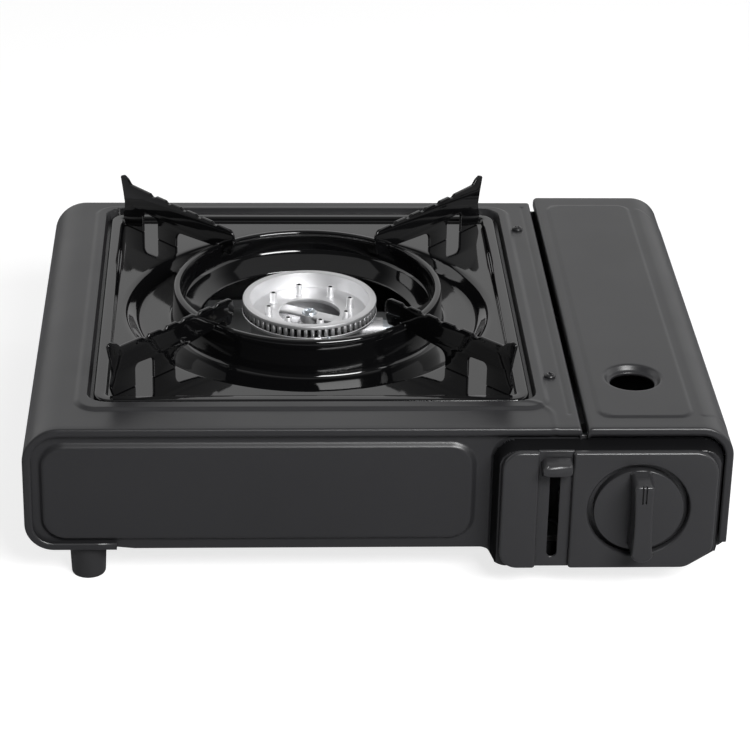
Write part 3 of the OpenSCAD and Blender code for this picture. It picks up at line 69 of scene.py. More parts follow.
def box_mm(node: str) -> tuple[Vector, Vector]:
    """Lowest and highest corner of a CAD node in millimetres.

    Args:
        node: Name of the CAD node.

    Returns:
        The two corners, in the row frame.
    """
    low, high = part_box(node)
    return low / MM, high / MM


# --------------------------------------------------------------------------- sizes


@dataclass(frozen=True)
class Casing:
    """Sizes of the folded shell; the first five are read from the CAD frame."""

    half_w: float
    depth: float
    belly_z: float
    bay_x: float
    front_y: float
    deck_z: float = 84.0
    sheet: float = 0.8
    deck_r: float = 18.0
    belly_r: float = 14.0
    lip: float = 4.0
    lip_r: float = 1.3
    flange_h: float = 10.0
    well_drop: float = 4.2
    belly_flange: float = 44.0

    @classmethod
    def from_frame(cls) -> "Casing":
        """Reads the shell's place and size from the CAD node."""
        low, high = box_mm("body_shell")
        return cls(-low.x, high.y - low.y, low.z, high.x, low.y)


@dataclass(frozen=True)
class PanSizes:
    """Sizes of the drip pan and its wind ring."""

    x: float = -31.5
    y: float = 141.5
    w: float = 212.0
    front: float = 31.4
    rear: float = 258.6
    corner: float = 9.0
    floor_z: float = 81.0


@dataclass(frozen=True)
class HeadSizes:
    """Sizes of the burner head."""

    x: float = -30.5
    y: float = 141.5
    r: float = 34.7
    top: float = 86.2
    rim: float = 3.8
    face: float = 78.2
    teeth: int = 60
    posts: int = 8
    post_ring: float = 21.8
    post_r: float = 1.85


@dataclass(frozen=True)
class LidSizes:
    """Sizes of the canister lid."""

    x0: float = 99.0
    x1: float = 169.75
    y0: float = -2.0
    y1: float = 277.5
    top: float = 85.0
    edge_z: float = 22.5
    corner: float = 16.0
    flange: float = 4.2
    rise: float = 0.6
    side_rise: float = 0.22
    hole_x: float = 126.5
    hole_y: float = 51.0
    hole_r: float = 11.0
    dish_r: float = 14.5


@dataclass(frozen=True)
class ControlSizes:
    """Places of the control panel's faces, the knob and the lever."""

    front: float = -12.1
    back: float = -7.9
    knob_x: float = 124.0
    knob_z: float = 46.0
    lever_x: float = 83.4
    lever_up: float = 24.0


CASING = Casing.from_frame()
PAN = PanSizes()
HEAD = HeadSizes()
LID = LidSizes()
CONTROLS = ControlSizes()


def row_point(x: float, y: float, z: float) -> Point3:
    """Moves a point in millimetres from the front lip into the row frame, in metres."""
    return x * MM, (y + CASING.front_y) * MM, z * MM


# --------------------------------------------------------------------------- finishes


class Pattern(Enum):
    """Kind of fine surface that a finish carries."""

    FINE = "fine"
    CAST = "cast"
    TURNED = "turned"
    GALVANISED = "galvanised"


@dataclass(frozen=True)
class Finish:
    """One surface finish; colours are linear."""

    name: str
    color: Point3
    metallic: float
    roughness: float
    spread: float
    grain_mm: float
    bump: float
    pattern: Pattern = Pattern.FINE
    specular: float = 0.5


FINISHES: dict[str, Finish] = {
    f.name: f
    for f in (
        Finish("deck_enamel", (0.020, 0.020, 0.0215), 0.0, 0.36, 0.06, 0.5, 0.05),
        Finish("casing_enamel", (0.020, 0.020, 0.0215), 0.0, 0.36, 0.06, 0.5, 0.05),
        Finish("pan_enamel", (0.003, 0.003, 0.0033), 0.0, 0.06, 0.04, 2.5, 0.03, specular=0.62),
        Finish("galvanised_steel", (0.38, 0.385, 0.39), 1.0, 0.58, 0.10, 7.0, 0.05, Pattern.GALVANISED),
        Finish("plated_steel", (0.54, 0.575, 0.61), 1.0, 0.36, 0.08, 1.2, 0.06, Pattern.TURNED),
        Finish("black_screw", (0.012, 0.012, 0.013), 0.0, 0.32, 0.08, 0.6, 0.08),
        Finish("burner_casting", (0.82, 0.82, 0.83), 1.0, 0.48, 0.06, 0.35, 0.08, Pattern.CAST),
        # near-black painted shade for the head's flame slots and post holes
        Finish("port_black", (0.006, 0.006, 0.006), 0.0, 0.7, 0.05, 0.6, 0.1, specular=0.2),
        # near-black painted shade, for faces that stand in deep shadow
        Finish("shade_black", (0.004, 0.004, 0.0045), 0.0, 0.6, 0.05, 0.5, 0.05, specular=0.08),
        Finish("cup_casting", (0.60, 0.60, 0.61), 1.0, 0.48, 0.10, 0.6, 0.20, Pattern.CAST),
        Finish("brass_fitting", (0.62, 0.42, 0.16), 1.0, 0.26, 0.08, 1.0, 0.06, Pattern.TURNED),
        Finish("black_plastic", (0.027, 0.027, 0.0285), 0.0, 0.29, 0.04, 0.28, 0.05),
        Finish("pale_plastic", (0.62, 0.61, 0.56), 0.0, 0.40, 0.05, 0.5, 0.05),
        Finish("rubber_foot", (0.022, 0.022, 0.023), 0.0, 0.50, 0.08, 0.4, 0.10),
        Finish("lead_jacket", (0.02, 0.02, 0.022), 0.0, 0.42, 0.06, 0.8, 0.05),
        Finish("white_ceramic", (0.78, 0.76, 0.70), 0.0, 0.16, 0.05, 1.5, 0.03),
    )
}


class Wiring:
    """Adds nodes to a tree; an input that is given a socket is joined to it."""

    def __init__(self, tree: bpy.types.NodeTree) -> None:
        self.tree = tree

    def feed(self, node: bpy.types.Node, inputs: dict[str | int, object]) -> bpy.types.Node:
        """Sets or joins the inputs of a node, and returns it."""
        for key, value in inputs.items():
            if isinstance(value, bpy.types.NodeSocket):
                self.tree.links.new(value, node.inputs[key])
            else:
                node.inputs[key].default_value = value
        return node

    def node(self, kind: str, inputs: dict[str | int, object], **settings: object) -> bpy.types.Node:
        """Adds a node.

        Args:
            kind: Type name of the node.
            inputs: Value of each input, or the socket that feeds it.
            settings: Properties of the node, set before its inputs.

        Returns:
            The node.
        """
        made = self.tree.nodes.new(kind)
        for key, value in settings.items():
            setattr(made, key, value)
        return self.feed(made, inputs)


class FinishShop:
    """Makes each finish once as a Blender material."""

    wide_mm = 38.0
    bump_mm = 0.12
    least_rough = 0.02
    tints = (0.94, 1.06)

    def __init__(self) -> None:
        self._made: dict[str, bpy.types.Material] = {}

    def get(self, name: str) -> bpy.types.Material:
        """Returns the material of a finish, making it on first use.

        Args:
            name: Name of the finish, which is also its slot in the record.

        Returns:
            The material.
        """
        if name not in self._made:
            self._made[name] = self._make(FINISHES[name])
            log.info("finish %s made", name)
        return self._made[name]

    def _make(self, finish: Finish) -> bpy.types.Material:
        """Builds the material of a finish."""
        mat = bpy.data.materials.new(finish.name)
        mat.use_nodes = True
        net = Wiring(mat.node_tree)
        place = net.node("ShaderNodeTexCoord", {}).outputs["Object"]
        wide = self._noise(net, place, self.wide_mm, 3.0)
        dark, light = ((*[min(1.0, c * share) for c in finish.color], 1.0) for share in self.tints)
        tint = net.node("ShaderNodeMix", {"Factor": wide, "A": dark, "B": light}, data_type="RGBA")
        rough = net.node("ShaderNodeMapRange", {
            "Value": wide,
            "To Min": max(self.least_rough, finish.roughness - finish.spread),
            "To Max": finish.roughness + finish.spread,
        })
        bump = net.node("ShaderNodeBump", {
            "Strength": finish.bump,
            "Distance": self.bump_mm * MM,
            "Height": self._grain(net, finish, place),
        })
        net.feed(mat.node_tree.nodes["Principled BSDF"], {
            "Metallic": finish.metallic,
            "Specular IOR Level": finish.specular,
            "Base Color": tint.outputs["Result"],
            "Roughness": rough.outputs["Result"],
            "Normal": bump.outputs["Normal"],
        })
        return mat

    def _noise(self, net: Wiring, place: bpy.types.NodeSocket, size_mm: float,
               detail: float) -> bpy.types.NodeSocket:
        """Adds noise with features of a given size."""
        inputs = {"Vector": place, "Scale": 1.0 / (size_mm * MM), "Detail": detail}
        return net.node("ShaderNodeTexNoise", inputs).outputs["Fac"]

    def _grain(self, net: Wiring, finish: Finish, place: bpy.types.NodeSocket) -> bpy.types.NodeSocket:
        """Adds the fine surface of a finish's pattern."""
        scale = 1.0 / (finish.grain_mm * MM)
        if finish.pattern is Pattern.GALVANISED:
            return net.node("ShaderNodeTexVoronoi", {"Vector": place, "Scale": scale}).outputs["Distance"]
        if finish.pattern is Pattern.TURNED:
            inputs = {"Vector": place, "Scale": scale / 2, "Distortion": 1.5}
            rings = net.node("ShaderNodeTexWave", inputs, wave_type="RINGS", rings_direction="Z")
            return rings.outputs["Fac"]
        return self._noise(net, place, finish.grain_mm, 6.0 if finish.pattern is Pattern.CAST else 2.0)


SHOP = FinishShop()


# --------------------------------------------------------------------------- geometry


def ease(t: np.ndarray) -> np.ndarray:
    """Smooth step from 0 to 1, held outside that range."""
    t = np.clip(t, 0.0, 1.0)
    return t * t * (3.0 - 2.0 * t)


def box_distance(x, y, x0: float, y0: float, x1: float, y1: float, r: float) -> np.ndarray:
    """Signed distance to a rounded rectangle, negative inside.

    Args:
        x: Places along the first axis.
        y: Places along the second axis.
        x0: Left edge.
        y0: Lower edge.
        x1: Right edge.
        y1: Upper edge.
        r: Corner radius.

    Returns:
        The distances.
    """
    qx = np.abs(x - (x0 + x1) / 2) - (x1 - x0) / 2 + r
    qy = np.abs(y - (y0 + y1) / 2) - (y1 - y0) / 2 + r
    outside = np.hypot(np.maximum(qx, 0), np.maximum(qy, 0))
    return outside + np.minimum(np.maximum(qx, qy), 0) - r


def rounded(points: Sequence[Point3], n: int = 8) -> list[Point2]:
    """Closed outline through points, with each corner rounded.

    Args:
        points: Corners as (x, y, radius).
        n: Segments per corner.

    Returns:
        The outline's points.
    """
    out: list[Point2] = []
    places = [np.array(p[:2], float) for p in points]
    for i, (b, p) in enumerate(zip(places, points)):
        u, v = places[i - 1] - b, places[(i + 1) % len(places)] - b
        u, v, r = u / np.linalg.norm(u), v / np.linalg.norm(v), p[2]
        half = math.acos(max(-1.0, min(1.0, float(u @ v)))) / 2
        middle = b + (u + v) / np.linalg.norm(u + v) * r / math.sin(half)
        x, y = b + u * r / math.tan(half) - middle
        sweep_angle = (math.pi - 2 * half) * (-1.0 if u[0] * v[1] - u[1] * v[0] > 0 else 1.0)
        for a in (math.atan2(y, x) + sweep_angle * j / n for j in range(n + 1)):
            out.append((middle[0] + r * math.cos(a), middle[1] + r * math.sin(a)))
    return out


def rounded_box(x0: float, y0: float, x1: float, y1: float, r: float, n: int = 8) -> list[Point2]:
    """Rectangle with rounded corners, as an outline."""
    return rounded([(x0, y0, r), (x1, y0, r), (x1, y1, r), (x0, y1, r)], n=n)


def unit_arc(start: float, end: float, n: int) -> list[Point2]:
    """Directions from one angle in degrees to another, in n equal steps."""
    return [(math.cos(a), math.sin(a)) for a in np.radians(np.linspace(start, end, n + 1))]


def circle(cx: float, cy: float, r: float, n: int = 64) -> list[Point2]:
    """Circle as an outline."""
    return [(cx + r * u, cy + r * v) for u, v in unit_arc(0, 360, n)[:-1]]


def turned(points: Sequence[Point2], degrees: float) -> list[Point2]:
    """Outline turned about the origin."""
    (u, v), = unit_arc(degrees, degrees, 0)
    return [(x * u - y * v, x * v + y * u) for x, y in points]


def bend(cx: float, cz: float, r: float, start: float, end: float, n: int,
         side: int) -> list[tuple[float, float, float, float]]:
    """Rounded bend in the section of a folded sheet.

    Args:
        cx: Centre along X.
        cz: Centre along Z.
        r: Outer radius.
        start: First angle in degrees.
        end: Last angle in degrees.
        n: Segments of the bend.
        side: 1 for directions away from the centre, -1 for directions to it.

    Returns:
        Each point's place and direction, as (x, z, direction x, direction z).
    """
    return [(cx + r * u, cz + r * v, side * u, side * v) for u, v in unit_arc(start, end, n)]


def flanged_rows(ends: Point2, r: float, flange: Point2,
                 middle: np.ndarray) -> tuple[np.ndarray, np.ndarray]:
    """Rows along Y of a sheet that has a flange at both ends.

    Args:
        ends: First and last place of the sheet.
        r: Radius of the fold.
        flange: Depth of the flange, and its share at the next row.
        middle: Rows of the flat part, with its ends.

    Returns:
        The places, and how far the sheet is set in at each.
    """
    depth, share = flange
    fold = [(0.0, depth), (0.0, depth * share), (0.0, r)]
    fold += [(r - r * u, r - r * v) for u, v in unit_arc(0, 90, 6)[1:]]
    rows = [(ends[0] + y, d) for y, d in fold] + [(y, 0.0) for y in middle[1:-1]]
    rows += [(ends[1] - y, d) for y, d in fold[::-1]]
    places, inset = np.array(rows).T
    return places, inset


def square_to_round(centre: Point2, half: float, n: int, rows: Sequence[Point3]) -> np.ndarray:
    """Sheet that turns the edge of a square into circles.

    Args:
        centre: Middle of the square.
        half: Half of its side.
        n: Points to a side.
        rows: Each is (share of the circle in the row's outline, the circle's radius, height).

    Returns:
        Array of rows by points by 3.
    """
    run, edge = np.arange(n) * (2 * half / n) - half, np.full(n, half)
    sides = ((run, -edge), (edge, run), (-run, edge), (-edge, -run))
    square = np.concatenate([np.column_stack(side) for side in sides])
    turn = np.arctan2(square[:, 1], square[:, 0])
    ring = np.column_stack([np.cos(turn), np.sin(turn)])
    return np.array([np.column_stack([square * (1 - t) + ring * r * t + centre, np.full(len(turn), z)])
                     for t, r, z in rows])


def spaced(*spans: Sequence[float]) -> np.ndarray:
    """Grid lines over joined spans.

    Args:
        spans: Each is (start, end, step).

    Returns:
        The lines, in order and without repeats.
    """
    lines: list[float] = []
    for start, end, step in spans:
        count = max(1, round(abs(end - start) / step))
        lines += [start + (end - start) * i / count for i in range(count + 1)]
    keep = [lines[0]]
    for v in lines[1:]:
        if abs(v - keep[-1]) > 1e-6:
            keep.append(v)
    return np.array(keep)


def add_object(name: str, data: bpy.types.ID) -> bpy.types.Object:
    """Makes an object of some data and links it to the scene."""
    obj = bpy.data.objects.new(name, data)
    bpy.context.scene.collection.objects.link(obj)
    return obj


@contextmanager
def edited(data: bpy.types.Mesh, source: Optional[bpy.types.Mesh] = None) -> Iterator[bmesh.types.BMesh]:
    """Opens a mesh for changes, and writes them back to it.

    Args:
        data: Mesh that takes the result.
        source: Mesh to start from in its place.

    Yields:
        The mesh to change.
    """
    bm = bmesh.new()
    bm.from_mesh(source or data)
    yield bm
    bm.to_mesh(data)
    bm.free()


class Shape:
    """Collects a mesh in millimetres, measured from the front lip."""

    def __init__(self) -> None:
        self.verts: list[np.ndarray] = []
        self.faces: list[tuple[int, ...]] = []
        self.count = 0

    def grid(self, points: np.ndarray, wrap: bool = False, keep: Optional[np.ndarray] = None,
             toward: Optional[Sequence[float]] = None) -> "Shape":
        """Adds a sheet of quads.

        Args:
            points: Array of rows by columns by 3.
            wrap: Whether the columns close into a ring.
            keep: Which quads stay, as rows by columns.
            toward: Direction that the sheet's outside faces.

        Returns:
            The shape.
        """
        rows, cols = points.shape[:2]
        idx = self.count + np.arange(rows * cols).reshape(rows, cols)
        nxt = np.roll(idx, -1, axis=1)
        a, b, c, d = idx[:-1], nxt[:-1], nxt[1:], idx[1:]
        if not wrap:
            a, b, c, d = a[:, :-1], b[:, :-1], c[:, :-1], d[:, :-1]
        quads = np.stack([a, b, c, d], -1)
        quads = quads[keep] if keep is not None else quads.reshape(-1, 4)
        flat = points.reshape(-1, 3)
        if toward is not None:
            q = flat[quads - self.count]
            normal = np.cross(q[:, 2] - q[:, 0], q[:, 3] - q[:, 1]).sum(0)
            if normal @ np.array(toward) < 0:
                quads = quads[:, ::-1]
        self.verts.append(flat)
        self.faces += [tuple(int(i) for i in f) for f in quads]
        self.count += rows * cols
        return self

    def lathe(self, profile: Sequence[Point2], x: float, y: float, n: int = 96,
              toward: Optional[Sequence[float]] = None) -> "Shape":
        """Adds a surface turned about an upright axis.

        Args:
            profile: Points as (radius, height).
            x: Axis place along X.
            y: Axis place along Y.
            n: Segments round the axis.
            toward: Direction that most of the outside faces.

        Returns:
            The shape.
        """
        turn = np.linspace(0, 2 * math.pi, n, endpoint=False)
        rings = [[(x + r * math.cos(a), y + r * math.sin(a), z) for a in turn] for r, z in profile]
        return self.grid(np.array(rings), wrap=True, toward=toward)

    def loops(self, loops: Sequence[Sequence[Point3]], toward: Sequence[float]) -> "Shape":
        """Adds rings of equal length joined in order, with a flat cap on the last.

        Args:
            loops: Closed rings of points.
            toward: Direction that most of the outside faces.

        Returns:
            The shape.
        """
        start, n = len(self.faces), len(loops[0])
        self.grid(np.array(loops), wrap=True, toward=toward)
        last = range(self.count - n, self.count)
        a, b = self.faces[start][:2]
        self.faces.append(tuple(last if (b - a) % n == 1 else last[::-1]))
        return self

    def mesh(self, verts: Sequence[Point3], faces: Sequence[Sequence[int]]) -> "Shape":
        """Adds plain vertices and faces."""
        self.verts.append(np.array(verts, float))
        self.faces += [tuple(i + self.count for i in f) for f in faces]
        self.count += len(verts)
        return self

    def build(self, name: str, finish: str, crease: float = 35.0, merge: float = 0.0) -> bpy.types.Object:
        """Makes the object in the row frame, in metres.

        Args:
            name: Name of the object.
            finish: Name of its finish.
            crease: Angle in degrees above which an edge stays sharp.
            merge: Distance in millimetres within which points join.

        Returns:
            The object, linked to the scene.
        """
        pts = np.concatenate(self.verts) + (0.0, CASING.front_y, 0.0)
        data = bpy.data.meshes.new(name)
        data.from_pydata((pts * MM).tolist(), [], self.faces)
        if merge > 0:
            with edited(data) as bm:
                bmesh.ops.remove_doubles(bm, verts=bm.verts, dist=merge * MM)
                bmesh.ops.dissolve_degenerate(bm, edges=bm.edges, dist=1e-7)
        data.update()
        obj = add_object(name, data)
        data.materials.append(SHOP.get(finish))
        soften(data, crease)
        return obj


def soften(data: bpy.types.Mesh, crease: float) -> None:
    """Shades a mesh smooth, with edges above the angle kept sharp."""
    data.shade_smooth()
    data.set_sharp_from_angle(angle=math.radians(crease))


def live_mesh(obj: bpy.types.Object) -> bpy.types.Mesh:
    """New mesh of what an object shows."""
    graph = bpy.context.evaluated_depsgraph_get()
    return bpy.data.meshes.new_from_object(obj.evaluated_get(graph))


def freeze(obj: bpy.types.Object) -> bpy.types.Object:
    """Turns an object's live modifiers into its own mesh, and returns it."""
    old, data = obj.data, live_mesh(obj)
    obj.modifiers.clear()
    obj.data = data
    bpy.data.meshes.remove(old)
    return obj


def thicken(obj: bpy.types.Object, sheet_mm: float) -> bpy.types.Object:
    """Gives a surface the thickness of its sheet, inwards, and freezes it."""
    mod = obj.modifiers.new("sheet", "SOLIDIFY")
    mod.thickness = sheet_mm * MM
    mod.offset = -1.0
    mod.use_even_offset = True
    return freeze(obj)


def bevel(obj: bpy.types.Object, width_mm: float, segments: int = 2,
          angle: float = 32.0) -> bpy.types.Object:
    """Rounds an object's sharp edges and freezes it.

    Args:
        obj: The object.
        width_mm: Width of the rounding.
        segments: Segments across it.
        angle: Least angle in degrees of an edge that is rounded.

    Returns:
        The same object.
    """
    mod = obj.modifiers.new("edges", "BEVEL")
    mod.width = width_mm * MM
    mod.segments = segments
    mod.limit_method = "ANGLE"
    mod.angle_limit = math.radians(angle)
    mod.harden_normals = True
    return freeze(obj)


def plate(outlines: Sequence[Sequence[Point2]], thickness: float, edge: float,
          place: Callable[[np.ndarray], np.ndarray],
          steps: int = 3) -> tuple[np.ndarray, list[tuple[int, ...]]]:
    """Flat plate with holes and rounded edges.

    Args:
        outlines: The outer outline and those of the holes.
        thickness: Thickness of the plate.
        edge: Radius of its edges.
        place: Puts points (x, y, depth from 0 to thickness) into the lip frame.
        steps: Segments across an edge's rounding.

    Returns:
        Vertices and faces in millimetres.
    """
    curve = bpy.data.curves.new("outline", "CURVE")
    curve.dimensions = "2D"
    curve.fill_mode = "BOTH"
    for outline in outlines:
        line = curve.splines.new("POLY")
        line.points.add(len(outline) - 1)
        line.points.foreach_set("co", [c for p in outline for c in (p[0], p[1], 0.0, 1.0)])
        line.use_cyclic_u = True
    curve.extrude = thickness / 2 - edge
    curve.bevel_depth = edge
    curve.bevel_resolution = steps
    curve.offset = -edge
    holder = add_object("outline", curve)
    data = live_mesh(holder)
    with edited(data) as bm:
        bmesh.ops.remove_doubles(bm, verts=bm.verts, dist=1e-4)
        bmesh.ops.recalc_face_normals(bm, faces=bm.faces)
    verts = np.array([v.co[:] for v in data.vertices])
    faces = [tuple(f.vertices) for f in data.polygons]
    bpy.data.objects.remove(holder)
    bpy.data.curves.remove(curve)
    bpy.data.meshes.remove(data)
    verts[:, 2] += thickness / 2
    mirrored = np.linalg.det(place(np.eye(3)) - place(np.zeros((3, 3)))) < 0
    return place(verts), [f[::-1] for f in faces] if mirrored else faces


def facing_front(y: float) -> Callable[[np.ndarray], np.ndarray]:
    """Places a plate's (x, z, depth) with its face at y and its depth to the rear."""
    return lambda p: np.stack([p[:, 0], y + p[:, 2], p[:, 1]], -1)


def lying_on_head(z: float) -> Callable[[np.ndarray], np.ndarray]:
    """Places a plate's (x, y, height) about the burner head's axis, from a height up."""
    return lambda p: p + np.array([HEAD.x, HEAD.y, z])


def second_finish(obj: bpy.types.Object, finish: str,
                  test: Callable[[float, float, float, Vector], bool]) -> None:
    """Gives some faces of an object a second finish.

    Args:
        obj: The object.
        finish: Name of the finish.
        test: Tells from a face's middle (x, y, z) and normal whether it takes the finish.
    """
    materials = obj.data.materials
    if finish not in materials:
        materials.append(SHOP.get(finish))
    index = materials.find(finish)
    for poly in obj.data.polygons:
        x, y, z = poly.center / MM
        if test(x, y - CASING.front_y, z, poly.normal):
            poly.material_index = index


# --------------------------------------------------------------------------- node arrays


class NodeTool(Wiring):
    """Geometry Nodes tree that repeats or sweeps a shape, and freezes its result."""

    def __init__(self, name: str, finish: str) -> None:
        super().__init__(bpy.data.node_groups.new(name, "GeometryNodeTree"))
        self.finish = finish
        for way in ("INPUT", "OUTPUT"):
            self.tree.interface.new_socket("Geometry", in_out=way, socket_type="NodeSocketGeometry")
        self.given = self.node("NodeGroupInput", {}).outputs["Geometry"]

    def run(self, name: str, base: bpy.types.Mesh, geometry: bpy.types.NodeSocket) -> bpy.types.Object:
        """Ends the tree with real meshes in its finish, runs it over a mesh and freezes the result.

        Args:
            name: Name of the new object.
            base: Mesh that feeds the tree.
            geometry: Output that holds the tree's geometry.

        Returns:
            The object.
        """
        material = SHOP.get(self.finish)
        real = self.node("GeometryNodeRealizeInstances", {"Geometry": geometry}).outputs["Geometry"]
        paint = self.node("GeometryNodeSetMaterial", {"Geometry": real, "Material": material})
        self.node("NodeGroupOutput", {"Geometry": paint.outputs["Geometry"]})
        obj = add_object(name, base)
        obj.modifiers.new("array", "NODES").node_group = self.tree
        freeze(obj)
        obj.data.materials.clear()
        obj.data.materials.append(material)
        soften(obj.data, 35.0)
        return obj


def ring_array(name: str, part: bpy.types.Object, count: int, radius: float, start: float,
               centre: Point3, finish: str) -> bpy.types.Object:
    """Repeats a part round an upright axis with Geometry Nodes.

    Args:
        name: Name of the new object.
        part: Part made at the origin, with +X outwards; it is removed.
        count: Number of copies.
        radius: Radius of the ring in millimetres.
        start: Angle of the first copy in degrees.
        centre: Centre of the ring in the lip frame.
        finish: Name of the finish.

    Returns:
        The array as one object.
    """
    tool = NodeTool(name + "_nodes", finish)
    ring = tool.node("GeometryNodeMeshCircle", {"Vertices": count, "Radius": radius * MM})
    spin = tool.node("GeometryNodeTransform", {
        "Geometry": ring.outputs["Mesh"],
        "Rotation": (0.0, 0.0, math.radians(start)),
    })
    place = tool.node("GeometryNodeInputPosition", {}).outputs["Position"]
    align = tool.node("FunctionNodeAlignRotationToVector", {"Vector": place}, axis="X")
    info = tool.node("GeometryNodeObjectInfo", {"Object": part})
    copies = tool.node("GeometryNodeInstanceOnPoints", {
        "Points": spin.outputs["Geometry"],
        "Instance": info.outputs["Geometry"],
        "Rotation": align.outputs["Rotation"],
    })
    move = tool.node("GeometryNodeTransform", {
        "Geometry": copies.outputs["Instances"],
        "Translation": row_point(*centre),
    })
    obj = tool.run(name, bpy.data.meshes.new(name), move.outputs["Geometry"])
    bpy.data.objects.remove(part)
    return obj


def sweep(name: str, points: Sequence[Point3], diameter: float, sides: int,
          finish: str) -> bpy.types.Object:
    """Sweeps a round section along a route with Geometry Nodes.

    Args:
        name: Name of the new object.
        points: The route in the lip frame.
        diameter: Diameter of the section.
        sides: Sides of the section.
        finish: Name of the finish.

    Returns:
        The swept object.
    """
    tool = NodeTool(name + "_nodes", finish)
    line = tool.node("GeometryNodeMeshToCurve", {"Mesh": tool.given})
    circle_inputs = {"Resolution": sides, "Radius": diameter / 2 * MM}
    section = tool.node("GeometryNodeCurvePrimitiveCircle", circle_inputs)
    tube = tool.node("GeometryNodeCurveToMesh", {
        "Curve": line.outputs["Curve"],
        "Profile Curve": section.outputs["Curve"],
        "Fill Caps": True,
    })
    base = bpy.data.meshes.new(name)
    base.from_pydata([row_point(*p) for p in points], [(i, i + 1) for i in range(len(points) - 1)], [])
    return tool.run(name, base, tube.outputs["Mesh"])


# --------------------------------------------------------------------------- pieces


class Piece(ABC):
    """One visible piece that stands for one or more CAD nodes."""

    name: str
    nodes: tuple[str, ...]
    body: str = "stove_body"
    finish: str = "deck_enamel"

    @abstractmethod
    def make(self) -> bpy.types.Object:
        """Builds the piece's object in the row frame."""

    def install(self) -> None:
        """Builds the piece, ties it to its CAD body and hides the CAD nodes it stands for."""
        obj = self.make()
        obj.name = self.name
        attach(obj, self.body)
        if self.nodes:
            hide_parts(*self.nodes)
        log.info("%s: %d faces", self.name, len(obj.data.polygons))


class BodyShell(Piece):
    """Deck, left side and belly flange, folded from one sheet."""

    name = "shell"
    nodes = ("body_shell",)

    well = (-140.3, 27.0, 77.3, 260.8)
    border = (-146.8, 18.5, 83.8, 266.0)
    edge_r = 1.6
    patch, patch_side, bore_r = 100.0, 24, 97.0
    border_rise = 1.15
    bead_x, bead_half, bead_depth = 91.4, 0.9, 0.306
    step_half, step_rise = 1.3, 0.30
    wall_slope = 0.9
    hole_depth = 24.0

    def section(self) -> tuple[np.ndarray, np.ndarray]:
        """Outer path of the shell's section, and the direction in which its lip is set in."""
        c, left, step = CASING, -CASING.half_w, self.patch / 12
        edge_x, edge_z = c.bay_x - self.edge_r, c.deck_z - self.edge_r
        a, b = PAN.x - self.patch, PAN.x + self.patch
        rows = [(x, c.belly_z, 0, 1) for x in spaced((left + c.belly_flange, left + c.belly_r, 10))]
        rows += bend(left + c.belly_r, c.belly_z + c.belly_r, c.belly_r, 270, 180, 12, -1)[1:]
        rows += [(left, z, 1, 0) for z in spaced((c.belly_z + c.belly_r, c.deck_z - c.deck_r, 9))[1:]]
        rows += bend(left + c.deck_r, c.deck_z - c.deck_r, c.deck_r, 180, 90, 14, -1)[1:]
        rows += [(x, c.deck_z, 0, -1)
                 for x in spaced((left + c.deck_r, a, 0.55), (a, b, step), (b, edge_x, 0.5))[1:]]
        rows += [(x, z, 0, nz) for x, z, _, nz in bend(edge_x, edge_z, self.edge_r, 90, 0, 6, -1)[1:]]
        rows += [(c.bay_x, z, 0, 0) for z in spaced((edge_z, c.deck_z - c.flange_h, 2))[1:]]
        table = np.array(rows)
        return table[:, :2], table[:, 2:]

    def rows(self) -> tuple[np.ndarray, np.ndarray]:
        """Places along Y, and how far the lip is set in at each."""
        c, step = CASING, self.patch / 12
        a, b = PAN.y - self.patch, PAN.y + self.patch
        middle = spaced((c.lip_r, 14, 3), (14, a, 0.55), (a, b, step), (b, 270, 0.55),
                        (270, c.depth - c.lip_r, 1.5))
        return flanged_rows((0.0, c.depth), c.lip_r, (c.lip, 0.7), middle)

    def relief(self, x: np.ndarray, y: np.ndarray) -> np.ndarray:
        """Height of the pressed deck above its plain face."""
        border = self.border_rise * ease(-box_distance(x, y, *self.border, 12.0) / 3.0)
        bead = self.bead_depth * np.exp(-(((x - self.bead_x) / self.bead_half) ** 2))
        bead = bead * ease((y - 14.0) / 2) * ease((266.5 - y) / 2)
        corner = box_distance(x, y, -200.0, -60.0, 83.6, 27.5, 14.0)
        step = self.step_rise * ease((x - 30) / 40) * np.exp(-((corner / self.step_half) ** 2))
        step = step * ease((31.0 - y) / 3)
        wall = ease(-box_distance(x, y, *self.well, 9.6) / self.wall_slope)
        return (border - bead + step) * (1 - wall) - CASING.well_drop * wall

    def make(self) -> bpy.types.Object:
        path, inward = self.section()
        ys, inset = self.rows()
        px, pz = path[:, :1], path[:, 1:]
        ix, iz = inward[:, :1], inward[:, 1:]
        top = (np.abs(pz - CASING.deck_z) < 1e-6) & (iz < -0.99)
        y = np.broadcast_to(ys, (len(path), len(ys)))
        lift = np.where(top, self.relief(np.broadcast_to(px, y.shape), y), 0.0)
        pts = np.stack([px + ix * inset, y, pz + iz * inset + lift], -1)
        mid = (pts[:-1, :-1] + pts[1:, 1:]) / 2
        aside = np.maximum(np.abs(mid[..., 0] - PAN.x), np.abs(mid[..., 1] - PAN.y))
        hole = (aside < self.patch) & (mid[..., 2] > CASING.deck_z - self.hole_depth)
        shape = Shape().grid(pts, keep=~hole, toward=(-0.3, 0, 1))
        floor = CASING.deck_z - CASING.well_drop
        patch = square_to_round((PAN.x, PAN.y), self.patch, self.patch_side,
                                [(t, self.bore_r, floor) for t in (0.0, 0.5, 1.0)])
        shape.grid(patch, wrap=True, toward=(0, 0, 1))
        return thicken(shape.build(self.name, self.finish, 50, merge=0.01), CASING.sheet)


